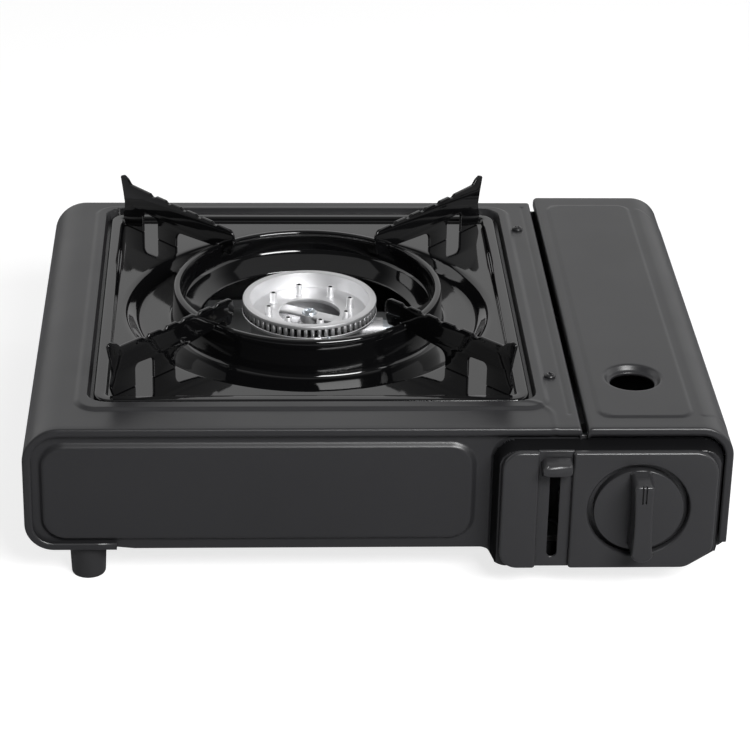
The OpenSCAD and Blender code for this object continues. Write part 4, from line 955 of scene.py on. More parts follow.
class EndPanel(Piece):
    """Front or rear wall with its raised rectangle."""

    finish = "casing_enamel"
    plane = 2.38
    raised_x: Point2
    belly_step: float
    spans: tuple[Point3, ...]

    raised_z, raised_r, rise, slope = (22.4, 76.4), 13.0, 2.0, 3.0
    tray_x, tray_z = (151.0, 162.6, 166.4, 169.0), (13.3, 21.0, 18.2, 20.2)

    def limits(self, x: np.ndarray) -> tuple[np.ndarray, np.ndarray]:
        """Lower and upper edge of the panel at each place along X."""
        c = CASING

        def drop(inside: np.ndarray, r: float) -> np.ndarray:
            """How far a corner of radius r has fallen away at a distance inside it."""
            return np.where(inside > 0, r - np.sqrt(np.clip(r * r - inside ** 2, 0, None)), 0.0)

        low = np.where(x > -c.half_w + c.belly_flange, c.belly_z, c.belly_z + 0.95)
        low = low - (c.belly_z - self.tray_z[0]) * ease((x - self.belly_step) / 12.0) + drop(-156.0 - x, 13.0)
        low = np.where(x > self.tray_x[0], np.interp(x, self.tray_x, self.tray_z), low)
        high = np.where(x > c.bay_x - 1.0, c.deck_z - 4.5, c.deck_z - 1.05)
        high = high - drop(-152.0 - x, 17.0) - drop(x - 153.2, 11.5)
        return low, np.maximum(high, low)

    def relief(self, x: np.ndarray, z: np.ndarray) -> np.ndarray:
        """How far the sheet stands in front of its plane."""
        (x0, x1), (z0, z1) = self.raised_x, self.raised_z
        return self.rise * ease(-box_distance(x, z, x0, z0, x1, z1, self.raised_r) / self.slope)

    def sheet(self) -> np.ndarray:
        """Points of the wall as it faces the front, by place along X and height."""
        xs = spaced(*self.spans)
        zs = spaced((13, 34, 0.6), (34, 64, 4), (64, 84, 0.4))
        low, high = self.limits(xs)
        x = np.broadcast_to(xs[:, None], (len(xs), len(zs)))
        z = np.clip(zs, low[:, None], high[:, None])
        return np.stack([x, self.plane - self.relief(x, z), z], -1)


class FrontWall(EndPanel):
    """Front wall with the drawn control housing and its bottom flange."""

    name = "front_wall"
    nodes = ("front_panel",)
    raised_x = (-162.8, 47.0)
    belly_step = 49.5
    spans = ((-169, -145, 0.8), (-145, 28, 9), (28, 50, 0.7), (50, 66, 0.4), (66, 150, 6),
             (150, 169.6, 0.4))

    housing = (53.2, -20.0, 166.4, 79.4)
    housing_depth, housing_slope = 10.1, 3.8
    slot_half, slot_z, bore_r = 4.0, (17.9, 73.0), 26.6
    flange_x = (56.0, 150.0)
    flange = ((-4.0, 13.3), (2.2, 13.3), (2.7, 13.8), (2.7, 20.6))

    def relief(self, x: np.ndarray, z: np.ndarray) -> np.ndarray:
        """How far the sheet stands in front of its plane, with the housing."""
        housing = ease(-box_distance(x, z, *self.housing, 12.0) / self.housing_slope)
        return super().relief(x, z) + self.housing_depth * housing

    def in_shade(self, x: float, y: float, z: float, normal: Vector) -> bool:
        """Tells whether a face gets painted shade: on the housing's slope or inside its lower part."""
        inside = 55.0 < x < 151.0 and z < 21.0
        return normal.y > -0.66 and x > 50.0 and (y < 0.2 or inside)

    def make(self) -> bpy.types.Object:
        pts = self.sheet()
        mid = (pts[:-1, :-1] + pts[1:, 1:]) / 2
        mx, mz = mid[..., 0], mid[..., 2]
        (z0, z1), (x0, x1) = self.slot_z, self.flange_x
        slot = (np.abs(mx - CONTROLS.lever_x) < self.slot_half) & (mz > z0) & (mz < z1)
        bore = np.hypot(mx - CONTROLS.knob_x, mz - CONTROLS.knob_z) < self.bore_r
        shape = Shape().grid(pts, keep=~(slot | bore), toward=(0, -1, 0))
        edge = pts[(pts[:, 0, 0] > x0) & (pts[:, 0, 0] < x1), 0]
        rows = [edge] + [np.column_stack([edge[:, 0], np.full((len(edge), 2), row)]) for row in self.flange]
        shape.grid(np.array(rows), toward=(0, 0.5, -1))
        obj = shape.build(self.name, self.finish, 50, merge=0.02)
        # paints near-black shade onto the housing's slope and onto the flange inside its lower part
        second_finish(obj, "shade_black", self.in_shade)
        return thicken(obj, CASING.sheet)


class RearWall(EndPanel):
    """Rear wall with a longer raised rectangle."""

    name = "rear_wall"
    nodes = ("rear_panel",)
    raised_x = (-162.8, 88.2)
    belly_step = 82.0
    spans = ((-169, -145, 0.8), (-145, 70, 9), (70, 98, 0.8), (98, 150, 8), (150, 169.6, 0.8))

    def make(self) -> bpy.types.Object:
        pts = self.sheet()
        pts[..., 1] = CASING.depth - pts[..., 1]
        shape = Shape().grid(pts, toward=(0, 1, 0))
        return thicken(shape.build(self.name, self.finish, 50, merge=0.02), CASING.sheet)


class DripPan(Piece):
    """Loose enamelled pan: rim, floor, trough, wind ring and inner cone as one sheet."""

    name = "pan"
    nodes = ("drip_pan",)
    body = "drip_pan"
    finish = "pan_enamel"
    sheet = 0.75
    side = 56
    turn = 12

    rim = ((0.0, 80.2), (0.0, 82.2), (0.25, 82.8), (0.8, 83.15), (1.6, 83.2), (3.2, 83.2), (4.9, 83.2),
           (5.6, 83.05), (6.2, 82.6), (6.7, 81.7), (7.3, 81.15), (8.0, 81.0), (8.7, 81.0))
    bowl = ((96.9, 81.0), (94.8, 80.95), (93.7, 80.5), (92.6, 79.6), (90.4, 77.5), (89.0, 76.4),
            (87.8, 75.6), (86.6, 75.25), (84.9, 75.15), (79.0, 75.05), (73.0, 75.0), (71.35, 75.25),
            (70.35, 76.1), (69.95, 77.6), (69.6, 84.0), (69.35, 91.5), (69.2, 93.6), (68.85, 94.4),
            (68.15, 94.75), (67.35, 94.8), (66.45, 94.75), (65.8, 94.4), (65.5, 93.6), (65.45, 91.0),
            (65.45, 84.6), (65.1, 83.6), (64.0, 82.4), (60.4, 79.8), (56.1, 76.5), (55.0, 75.7))

    def square_ring(self, inset: float, z: float) -> list[Point3]:
        """Rounded rectangle drawn in from the pan's edge, with a fixed number of points."""
        hx = PAN.w / 2 - inset
        low, high = PAN.front + inset, PAN.rear - inset
        r = max(PAN.corner - inset, 1.2)
        corners = ((hx - r, high - r), (r - hx, high - r), (r - hx, low + r), (hx - r, low + r))
        pts: list[Point3] = []
        for q, (cx, cy) in enumerate(corners):
            arc = [(cx + r * u, cy + r * v) for u, v in unit_arc(90 * q, 90 * (q + 1), self.turn)]
            ex, ey = corners[(q + 1) % 4]
            x, y = arc[-1]
            run = [(x + (ex - cx) * t, y + (ey - cy) * t) for t in np.arange(1, self.side) / self.side]
            pts += [(PAN.x + x, y, z) for x, y in arc + run]
        return pts

    def make(self) -> bpy.types.Object:
        rim = [np.array(self.square_ring(inset, z)) for inset, z in self.rim]
        edge = rim[-1]
        turn = np.arctan2(edge[:, 1] - PAN.y, edge[:, 0] - PAN.x)
        bowl = [np.column_stack([PAN.x + r * np.cos(turn), PAN.y + r * np.sin(turn), np.full_like(turn, z)])
                for r, z in self.bowl]
        floor = [edge * (1 - t) + bowl[0] * t for t in (0.25, 0.5, 0.75)]
        shape = Shape().grid(np.array(rim + floor + bowl), wrap=True, toward=(0, 0, 1))
        return thicken(shape.build(self.name, self.finish, 50), self.sheet)


class PotSupport(Piece):
    """One serrated support plate, on its edge."""

    body = "drip_pan"
    finish = "pan_enamel"

    gap, sheet = 13.3, 1.6
    notches = (0.73, 0.585, 0.448, 0.31, 0.167)

    def __init__(self, where: str, sx: int, sy: int) -> None:
        self.name = f"support_{where}"
        self.nodes = (f"pot_support_{where}",)
        corner = (sx * PAN.w / 2, (PAN.rear if sy > 0 else PAN.front) - PAN.y)
        self.angle = math.atan2(corner[1], corner[0])
        self.outer = math.hypot(*corner) - self.gap
        self.shift = -0.8 if sy > 0 else 0.0

    def outline(self) -> list[Point2]:
        """Profile of the plate as distance from the burner against height."""
        z, o, tip = PAN.floor_z + 0.1, self.outer, 55.2
        low = [(o, z, 0.7), (o + 1.7, z + 5, 5), (o, z + 12, 8), (o + 1.3, z + 19, 6), (o + 3.3, 109.0, 1.2),
               (o + 0.5, 110.1, 1.6), (o - 2.7, 108.7, 1.4), (o - 5.2, 106.2, 2.2)]
        top: list[Point2] = []
        for s in self.notches:
            x = tip + s * (o - tip)
            top += [(x + 2.9, 105.95, 1.8), (x + 0.9, 104.65, 0.9), (x - 1.1, 104.7, 0.9),
                    (x - 2.3, 105.9, 1.2)]
        end = [(tip + 1.1, 105.8, 4.0), (tip, 98.5, 4), (tip + 2.6, 91.2, 1.6), (65.0, 91.6, 1.0),
               (65.0, 95.0, 0.3), (69.7, 95.0, 0.3), (70.9, 92.4, 1.6), (76.4, 92.0, 5), (o - 42.6, z + 9, 5),
               (o - 42.4, z, 0.6), (o - 27.5, z, 0.6), (o - 27.5, z + 11.5, 2.8), (o - 15, z + 12.1, 2.8),
               (o - 15, z, 0.6)]
        return rounded(low + top + end, n=5)

    def place(self, p: np.ndarray) -> np.ndarray:
        """Stands the plate's (distance, height, depth) on the pan, on its own line."""
        ca, sa = math.cos(self.angle), math.sin(self.angle)
        out, across = p[:, 0], p[:, 2] - self.sheet / 2
        x, y = out * ca - across * sa, out * sa + across * ca
        return np.stack([PAN.x + self.shift + x, PAN.y + y, p[:, 1]], -1)

    def make(self) -> bpy.types.Object:
        flat = plate([self.outline()], self.sheet, 0.42, self.place)
        return Shape().mesh(*flat).build(self.name, self.finish, 30)


class BurnerHead(Piece):
    """Die-cast head: rim, flame teeth, recessed face with posts, and the bridge."""

    name = "head"
    nodes = ("burner_head",)
    finish = "burner_casting"

    post_start = 13.5
    opening_r = 16.0
    tooth_section = ((-2.6, -0.72), (0.0, -0.88), (0.0, 0.88), (-2.6, 0.72))
    tooth_half = 2.35
    post_sides = 24

    def tooth(self) -> bpy.types.Object:
        """One tooth between two flame slots, with +X outwards."""
        levels = (-self.tooth_half, self.tooth_half)
        verts = [(x * MM, y * MM, z * MM) for z in levels for x, y in self.tooth_section]
        faces = [(3, 2, 1, 0), (4, 5, 6, 7), (0, 1, 5, 4), (1, 2, 6, 5), (2, 3, 7, 6), (3, 0, 4, 7)]
        data = bpy.data.meshes.new("tooth")
        data.from_pydata(verts, [], faces)
        return bevel(add_object("tooth", data), 0.28, 2)

    def post(self) -> bpy.types.Object:
        """One hollow post, standing on the face."""
        r, h = HEAD.post_r, HEAD.top - 2.2 - HEAD.face
        profile = [(r + 0.7, -0.05), (r + 0.2, 0.25), (r, 0.8), (r, h - 0.25), (r - 0.12, h - 0.05),
                   (r - 0.35, h), (r * 0.55, h), (r * 0.5, h - 0.15), (r * 0.5, h - 3.5), (0.02, h - 3.5)]
        n = self.post_sides
        verts = [(p * u * MM, p * v * MM, z * MM) for p, z in profile for u, v in unit_arc(0, 360, n)[:-1]]
        faces = [(k * n + i, k * n + (i + 1) % n, (k + 1) * n + (i + 1) % n, (k + 1) * n + i)
                 for k in range(len(profile) - 1) for i in range(n)]
        data = bpy.data.meshes.new("post")
        data.from_pydata(verts, [], faces)
        return add_object("post", data)

    def between_teeth(self, x: float, y: float, z: float, _: Vector) -> bool:
        """Tells whether a face is at the bottom of the flame slots, where black is painted in for shade."""
        reach = HEAD.r - math.hypot(x - HEAD.x, y - HEAD.y)
        return 0.5 < reach < 3.0 and HEAD.top - 6.25 < z < HEAD.top - 1.9

    def in_post(self, x: float, y: float, z: float, _: Vector) -> bool:
        """Tells whether a face is in a post's hole, where black is painted in for shade."""
        x, y, pitch = x - HEAD.x, y - HEAD.y, 360 / HEAD.posts
        off = (math.degrees(math.atan2(y, x)) - self.post_start) % pitch
        off, reach = math.radians(min(off, pitch - off)), math.hypot(x, y)
        away = math.hypot(reach * math.cos(off) - HEAD.post_ring, reach * math.sin(off))
        return away < HEAD.post_r * 0.53 and z > HEAD.face + 0.5

    def make(self) -> bpy.types.Object:
        r, top, face = HEAD.r, HEAD.top, HEAD.face
        inner = r - HEAD.rim
        ring = [(r - 2.8, top - 2.0), (r - 0.25, top - 2.0), (r, top - 1.75), (r, top - 0.35),
                (r - 0.12, top - 0.1), (r - 0.4, top), (inner + 0.4, top), (inner + 0.12, top - 0.1),
                (inner, top - 0.4), (inner - 0.15, face + 1.0), (inner - 0.5, face + 0.25),
                (inner - 1.3, face)]
        flange = [(24.4, top - 10.3), (29.6, top - 10.3), (r - 2.0, top - 8.6), (r, top - 7.9),
                  (r + 0.25, top - 7.6), (r + 0.25, top - 6.4), (r, top - 6.2), (r - 2.8, top - 6.2),
                  (r - 2.8, top - 2.0)]
        hub = [(24.4, top - 10.3), (24.4, top - 10.2)]
        shape = Shape().lathe(ring, HEAD.x, HEAD.y, 128, toward=(0, 0, 1))
        for profile in (flange, hub):
            shape.lathe(profile, HEAD.x, HEAD.y, 128)
        obj = shape.build(self.name, self.finish, 28)
        # paints black shade at the bottom of the flame slots
        second_finish(obj, "port_black", self.between_teeth)
        teeth = ring_array("head_teeth", self.tooth(), HEAD.teeth, r - 0.35, 1.5,
                           (HEAD.x, HEAD.y, top - 4.1), self.finish)
        posts = ring_array("head_posts", self.post(), HEAD.posts, HEAD.post_ring, self.post_start,
                           (HEAD.x, HEAD.y, face), self.finish)
        join(obj, [self.face_plate(), self.bridge(), self.tab(), teeth, posts])
        # paints black shade inside the posts' holes
        second_finish(obj, "port_black", self.in_post)
        return obj

    def face_plate(self) -> bpy.types.Object:
        """Recessed face with the round opening and the small oval hole."""
        oval = turned(rounded_box(24.6, -2.5, 27.2, 2.5, 1.25, 5), -57)
        outlines = [circle(0, 0, 30.4, 96), circle(0, 0, self.opening_r), oval]
        flat = plate(outlines, 2.2, 0.3, lying_on_head(HEAD.face - 2.2), 2)
        return Shape().mesh(*flat).build("face", self.finish, 28)

    def bridge(self) -> bpy.types.Object:
        """Bar across the opening with its boss."""
        half = 3.8
        reach = math.sqrt((self.opening_r + 1.0) ** 2 - half ** 2)
        bar = rounded([(reach, -half, 0.5), (reach, half, 0.5), (-reach, half, 0.5), (-reach, -half, 0.5)])
        flat = plate([turned(bar, -28)], 1.55, 0.3, lying_on_head(HEAD.face - 2.15), 2)
        shape = Shape().mesh(*flat)
        boss = [(2.2, -5.0), (4.4, -5.0), (4.7, -4.6), (4.7, -0.55), (4.5, -0.4), (4.25, -0.45), (4.2, -1.2),
                (2.2, -1.2)]
        shape.lathe([(r, HEAD.face + z) for r, z in boss], HEAD.x, HEAD.y, 40)
        return shape.build("bridge", self.finish, 28)

    def tab(self) -> bpy.types.Object:
        """Small tab at the front that the spark jumps to."""
        outline = rounded_box(2.0, -HEAD.r - 1.6, 5.4, -HEAD.r + 1.4, 0.4, 4)
        flat = plate([outline], 1.2, 0.2, lying_on_head(HEAD.face), 2)
        return Shape().mesh(*flat).build("tab", self.finish, 28)


def join(main: bpy.types.Object, others: Sequence[bpy.types.Object]) -> None:
    """Joins objects into the first one.

    Args:
        main: The object that stays.
        others: The objects that go into it.
    """
    with edited(main.data) as bm:
        for other in others:
            bm.from_mesh(other.data)
    for other in others:
        old = other.data
        bpy.data.objects.remove(other)
        bpy.data.meshes.remove(old)


def cross_screw(shape: Shape, x: float, y: float, z: float, r: float, h: float, turn: float) -> Shape:
    """Adds a pan-head screw with a cross recess.

    Args:
        shape: Shape that takes the screw.
        x: Centre along X.
        y: Centre along Y.
        z: Height of the head's seat.
        r: Radius of the head.
        h: Height of the head.
        turn: Turn of the recess in degrees.

    Returns:
        The shape.
    """
    n, depth = 64, 0.62
    angles = np.linspace(0, 2 * math.pi, n, endpoint=False)
    local = np.abs(((angles - math.radians(turn)) % (math.pi / 2)) - math.pi / 4)
    arm, whole = ease((local / (math.pi / 4) - 0.62) / 0.2), np.ones(n)
    head = [(1.0, 0.0), (1.02, 0.25), (0.98, 0.55), (0.86, 0.82), (0.66, 0.95), (0.6, 0.98)]
    recess = [(0.5, arm), (0.34, arm), (0.2, whole), (0.01, whole)]
    levels = [(f, g * whole) for f, g in head] + [(f, 1.0 - depth * sunk) for f, sunk in recess]
    rows = [np.column_stack([x + r * f * np.cos(angles), y + r * f * np.sin(angles), z + h * g])
            for f, g in levels]
    return shape.grid(np.array(rows), wrap=True, toward=(0, 0, 1))


class BurnerScrew(Piece):
    """Zinc screw at the middle of the bridge."""

    name = "middle_screw"
    nodes = ("burner_screw",)
    finish = "plated_steel"

    def make(self) -> bpy.types.Object:
        shape = cross_screw(Shape(), HEAD.x, HEAD.y, HEAD.face - 1.15, 3.7, 2.3, 20)
        shape.lathe([(2.0, HEAD.face - 9.5), (2.0, HEAD.face - 1.1)], HEAD.x, HEAD.y, 24)
        return shape.build(self.name, self.finish, 40)


class DeckScrews(Piece):
    """Two black screws in the deck's right strip."""

    name = "strip_screws"
    nodes = ("deck_screws",)
    finish = "black_screw"

    def make(self) -> bpy.types.Object:
        low, high = box_mm("deck_screws")
        x = (low.x + high.x) / 2
        shape = Shape()
        for y, turn in ((low.y + 2.85 - CASING.front_y, 15), (high.y - 2.85 - CASING.front_y, 55)):
            cross_screw(shape, x, y, CASING.deck_z + 0.05, 2.8, 1.5, turn)
            shape.lathe([(1.45, CASING.deck_z - 5.5), (1.45, CASING.deck_z)], x, y, 20)
        return shape.build(self.name, self.finish, 40)


class CanisterLid(Piece):
    """Hinged lid: folded sheet with raised panels, end flanges and a dished finger hole."""

    name = "lid"
    nodes = ("canister_lid",)
    body = "canister_lid"
    patch, patch_side = 19.0, 16
    left_r, left_h, fold_r = 2.2, 5.2, 1.3
    dish_profile = ((1.2, 0.0), (0.3, 0.0), (-0.3, -0.15), (-0.8, -0.6), (-1.7, -2.2), (-2.2, -2.75),
                    (-2.8, -2.95))
    hole_profile = ((0.5, -3.0), (0.15, -3.15), (0.0, -3.5), (0.0, -4.6))

    def section(self) -> tuple[np.ndarray, np.ndarray]:
        """Outer path of the lid's section, and its outward direction."""
        s, left_r = LID, self.left_r
        a, b = s.hole_x - self.patch, s.hole_x + self.patch
        knee_x, knee_z, low = s.x1 - s.corner, s.top - s.corner, s.edge_z + 9
        rows = [(s.x0, z, -1, 0) for z in (s.top - self.left_h, s.top - 3.6)]
        rows += bend(s.x0 + left_r, s.top - left_r, left_r, 180, 90, 7, 1)
        rows += [(x, s.top, 0, 1)
                 for x in spaced((s.x0 + left_r, a, 0.6), (a, b, self.patch / 8), (b, knee_x, 0.6))[1:-1]]
        rows += bend(knee_x, knee_z, s.corner, 90, 0, 26, 1)
        rows += [(s.x1, z, 1, 0) for z in spaced((knee_z, low, 6), (low, s.edge_z, 0.8))[1:]]
        table = np.array(rows)
        return table[:, :2], table[:, 2:]

    def rows(self) -> tuple[np.ndarray, np.ndarray]:
        """Places along Y, and how far the flange is set in at each."""
        s, r = LID, self.fold_r
        a, b = s.hole_y - self.patch, s.hole_y + self.patch
        middle = spaced((s.y0 + r, 4, 2), (4, 24, 0.6), (24, a, 2), (a, b, self.patch / 8), (b, 234, 12),
                        (234, 270, 0.6), (270, s.y1 - r, 2))
        return flanged_rows((s.y0, s.y1), r, (s.flange, 0.65), middle)

    def relief(self, path: np.ndarray, y: np.ndarray) -> np.ndarray:
        """Height of the pressed panels above the plain sheet."""
        s = LID
        knee_x = s.x1 - s.corner
        x = np.broadcast_to(path[:, :1], y.shape)
        length = np.concatenate([[0.0], np.cumsum(np.hypot(*np.diff(path, axis=0).T))])
        run = np.broadcast_to(length[:, None], y.shape)
        knee = length[np.argmin(np.abs(path[:, 0] - knee_x))]
        top = s.rise * ease(-box_distance(x, y, s.x0 + 5.4, 8.6, knee_x - 2.0, 266.4, 8.0) / 2.2)
        swing = 6.0 * ease((run - knee) / 14.0)
        panel = (knee + 0.6, 10.0 + swing, length[-1] - 5.0, 262.5 - swing * 1.6)
        side = s.side_rise * ease(-box_distance(run, y, *panel, 3.0) / 0.9)
        return np.where(run <= knee, top, 0.0) + side

    def make(self) -> bpy.types.Object:
        s = LID
        path, out = self.section()
        ys, inset = self.rows()
        y = np.broadcast_to(ys, (len(path), len(ys)))
        lift = self.relief(path, y) - inset
        pts = np.stack([path[:, :1] + out[:, :1] * lift, y, path[:, 1:] + out[:, 1:] * lift], -1)
        left = path[:, 0] < s.x0 + 2.1
        pts[left, :, 0] = path[left, :1]
        pts[left, :, 2] = np.maximum(path[left, 1:] - inset, s.top - self.left_h)
        mid = (pts[:-1, :-1] + pts[1:, 1:]) / 2
        aside = np.maximum(np.abs(mid[..., 0] - s.hole_x), np.abs(mid[..., 1] - s.hole_y))
        hole = (aside < self.patch) & (mid[..., 2] > s.top - 2)
        shape = Shape().grid(pts, keep=~hole, toward=(0.4, 0, 1))
        shape.grid(self.dish(), wrap=True, toward=(0, 0, 1))
        return thicken(shape.build(self.name, self.finish, 50, merge=0.01), CASING.sheet)

    def dish(self) -> np.ndarray:
        """Square patch that turns into the round dish and its hole."""
        s, top = LID, LID.top + LID.rise
        rows = [(t, s.dish_r + self.dish_profile[0][0], top) for t in (0.0, 0.4, 0.75)]
        rows += [(1.0, s.dish_r + dr, top + dz) for dr, dz in self.dish_profile]
        rows += [(1.0, s.hole_r + dr, top + dz) for dr, dz in self.hole_profile]
        return square_to_round((s.hole_x, s.hole_y), self.patch, self.patch_side, rows)


class ControlPanel(Piece):
    """Moulded panel: two plates, the sunk lever channel and the knob's pocket."""

    name = "fascia"
    nodes = ("control_panel",)
    finish = "black_plastic"

    x0, x1, z0, z1 = 57.8, 161.2, 13.9, 77.2
    channel = (75.5, 91.4)
    channel_depth = 2.6
    slot_half = 2.4
    pocket_r = 24.4

    def make(self) -> bpy.types.Object:
        c, (a, b), (low, high) = CONTROLS, self.channel, (self.z0, self.z1)
        left = rounded([(self.x0, low, 9), (a, low, 1.6), (a, high, 1.6), (self.x0, high, 9)], n=10)
        right = rounded([(b, low, 1.6), (self.x1 - 12.6, low, 9), (self.x1, low + 9.8, 5),
                         (self.x1, high, 12), (b, high, 1.6)], n=12)
        floor = rounded_box(a - 0.9, low, b + 0.9, high, 0.8, 3)
        x0, x1 = c.lever_x - self.slot_half, c.lever_x + self.slot_half
        slot = rounded_box(x0, low + 5.3, x1, high - 4.0, 2.3, 6)
        hole, cup, shaft = (circle(c.knob_x, c.knob_z, r, n)
                            for r, n in ((self.pocket_r, 96), (self.pocket_r + 0.6, 96), (9.0, 48)))
        deep = c.back - c.front
        shape = Shape()
        for outlines, thickness, edge, y, steps in (
            ([left], deep, 1.4, c.front, 6),
            ([right, hole], deep, 1.4, c.front, 6),
            ([floor, slot], 1.6, 0.55, c.front + self.channel_depth, 3),
            ([cup, shaft], 1.2, 0.2, c.back + 0.3, 1),
        ):
            shape.mesh(*plate(outlines, thickness, edge, facing_front(y), steps))
        return shape.build(self.name, self.finish, 32)


class ControlKnob(Piece):
    """Turning knob: flush disc, waisted bar handle and pointer grooves."""

    name = "knob"
    nodes = ("control_knob",)
    body = "control_knob"
    finish = "black_plastic"

    r = 21.7
    tip = -26.1
    lean = 0.021
    groove_xs, groove_half, groove_depth = (-0.72, 0.98), 0.4, 2.2

    def half_width(self, z: float) -> float:
        """Half width of the handle at a height from the knob's centre."""
        s = z / self.r
        return 4.5 + (0.7 if s > 0 else 1.2) * s * s

    def handle_ring(self, inset: float, y: float, slope: float) -> list[Point3]:
        """Outline of the handle drawn in by an inset, at one depth."""
        top, bottom = self.r - 0.7 - inset - slope, -self.r + 0.7 + inset
        top_r, bottom_r = 2.2, 4.6

        def corner(side: int, end: float, r: float, level: float, turn: Sequence[Point2]) -> list[Point2]:
            """Rounded corner at one side of an end of the handle."""
            wide = self.half_width(end) - inset
            rx = min(r, wide)
            return [(side * (wide - rx) + rx * u, level + r * v) for u, v in turn]

        flank = [(self.half_width(z) - inset, z) for z in np.linspace(bottom + bottom_r, top - top_r, 16)]
        pts = flank + corner(1, top, top_r, top - top_r, unit_arc(0, 90, 6)[1:])
        pts += corner(-1, top, top_r, top - top_r, unit_arc(90, 180, 6)[:-1])
        pts += [(-x, z) for x, z in flank[::-1]]
        pts += corner(-1, bottom, bottom_r, bottom + bottom_r, unit_arc(180, 270, 8)[1:-1])
        pts += corner(1, bottom, bottom_r, bottom + bottom_r, unit_arc(270, 360, 8)[:-1])
        return [(CONTROLS.knob_x + x + self.lean * (self.r - z), y, CONTROLS.knob_z + z) for x, z in pts]

    def make(self) -> bpy.types.Object:
        front, edge_r = CONTROLS.front, 1.0
        disc = circle(CONTROLS.knob_x, CONTROLS.knob_z, self.r, 128)
        shape = Shape().mesh(*plate([disc], 4.2, 0.6, facing_front(front), 4))
        steps = [(-0.35, front + 0.4, 0.0), (-0.3, front - 0.25, 0.0), (0.0, front - 0.9, 0.1),
                 (0.1, -17.0, 0.2), (0.2, -22.0, 0.35)]
        steps += [(0.25 + edge_r * (1 - u), self.tip + edge_r * (1 - v), 0.45 + 0.02 * i)
                  for i, (u, v) in enumerate(unit_arc(0, 90, 5))]
        steps.append((2.2, self.tip, 0.6))
        shape.loops([self.handle_ring(*s) for s in steps], toward=(0, -1, 0))
        obj = shape.build(self.name, self.finish, 30)
        self.carve(obj)
        return obj

    def carve(self, obj: bpy.types.Object) -> None:
        """Cuts the two pointer grooves into the handle's face."""
        cutters = Shape()
        top, half = CONTROLS.knob_z + self.r - 1.0, self.groove_half
        for x in (CONTROLS.knob_x + dx for dx in self.groove_xs):
            outline = rounded_box(x - half, top - 9.6, x + half, top + 3.0, 0.2, 2)
            cutters.mesh(*plate([outline], self.groove_depth, 0.05, facing_front(self.tip - 0.6), 1))
        tool = cutters.build("grooves", self.finish, 30)
        mod = obj.modifiers.new("grooves", "BOOLEAN")
        mod.operation = "DIFFERENCE"
        mod.solver = "EXACT"
        mod.object = tool
        freeze(obj)
        soften(obj.data, 30)
        bpy.data.objects.remove(tool)


class LeverKnob(Piece):
    """Moulded finger piece of the lock lever."""

    name = "lever_finger"
    nodes = ("lever_knob",)
    body = "lock_lever"
    finish = "black_plastic"

    reach, half_w = 61.2, 7.35

    def place(self, p: np.ndarray) -> np.ndarray:
        """Turns points from the lever's own plane to its rest angle."""
        low, high = box_mm("lever_shaft")
        py, pz = (low.y + high.y) / 2 - CASING.front_y, (low.z + high.z) / 2
        (u, v), = unit_arc(CONTROLS.lever_up, CONTROLS.lever_up, 0)
        y, z = p[:, 1], p[:, 2]
        return np.stack([p[:, 0], py + y * u + z * v, pz - y * v + z * u], -1)

    def close_up(self, data: bpy.types.Mesh, width: float, segments: int, angle: float,
                 crease: float) -> bpy.types.Object:
        """Makes the object of a finished mesh, with its edges rounded.

        Args:
            data: The mesh.
            width: Width of the rounding.
            segments: Segments across it.
            angle: Least angle in degrees of an edge that is rounded.
            crease: Angle in degrees above which an edge stays sharp.

        Returns:
            The object.
        """
        data.materials.append(SHOP.get(self.finish))
        obj = bevel(add_object(self.name, data), width, segments, angle)
        soften(obj.data, crease)
        return obj

    def make(self) -> bpy.types.Object:
        x0, x1 = CONTROLS.lever_x - self.half_w, CONTROLS.lever_x + self.half_w
        back, front = -self.reach, -self.reach - 6.35
        points = [(x0, back, -5.2), (x0, back, 1.9), (x0 + 2.0, back, 3.8), (x1 - 0.5, back, 3.8),
                  (x1, back, 3.2), (x1, back, -5.2), (x0 + 0.5, front + 0.3, -1.9), (x0 + 2.6, front, 0.1),
                  (x1 - 1.2, front, 0.1), (x1 - 0.1, front + 0.3, -1.2), (x0 + 0.7, front + 1.2, -4.2),
                  (x0 + 3.0, front + 1.6, -5.2), (x1 - 2.0, front + 1.6, -5.2), (x1 - 0.3, front + 1.2, -3.8)]
        data = bpy.data.meshes.new(self.name)
        with edited(data) as bm:
            for p in self.place(np.array(points)):
                bm.verts.new(row_point(*p))
            bmesh.ops.convex_hull(bm, input=bm.verts)
            bmesh.ops.dissolve_limit(bm, angle_limit=math.radians(3), verts=bm.verts, edges=bm.edges)
            bmesh.ops.recalc_face_normals(bm, faces=bm.faces)
        return self.close_up(data, 0.55, 4, 20, 25)


class LeverArm(LeverKnob):
    """Flat arm of the lock lever: the CAD arm, ended inside the finger piece."""

    name = "lever_blade"
    nodes = ("lever_arm",)
    finish = "plated_steel"
    overlap = 1.6

    def make(self) -> bpy.types.Object:
        line = np.array([[0.0, 0.0, 0.0], [0.0, -self.reach - self.overlap, 0.0]])
        root, end = (Vector(row_point(*p)) for p in self.place(line))
        data = bpy.data.meshes.new(self.name)
        with edited(data, frame["nodes"]["lever_arm"].data) as bm:
            bmesh.ops.remove_doubles(bm, verts=bm.verts, dist=1e-6)
            cut = bmesh.ops.bisect_plane(bm, geom=bm.verts[:] + bm.edges[:] + bm.faces[:], dist=1e-7,
                                         plane_co=end, plane_no=(end - root).normalized(),
                                         clear_outer=True)
            rim = [e for e in cut["geom_cut"] if isinstance(e, bmesh.types.BMEdge)]
            bmesh.ops.holes_fill(bm, edges=rim)
            bmesh.ops.recalc_face_normals(bm, faces=bm.faces)
        return self.close_up(data, 0.2, 2, 40, 30)


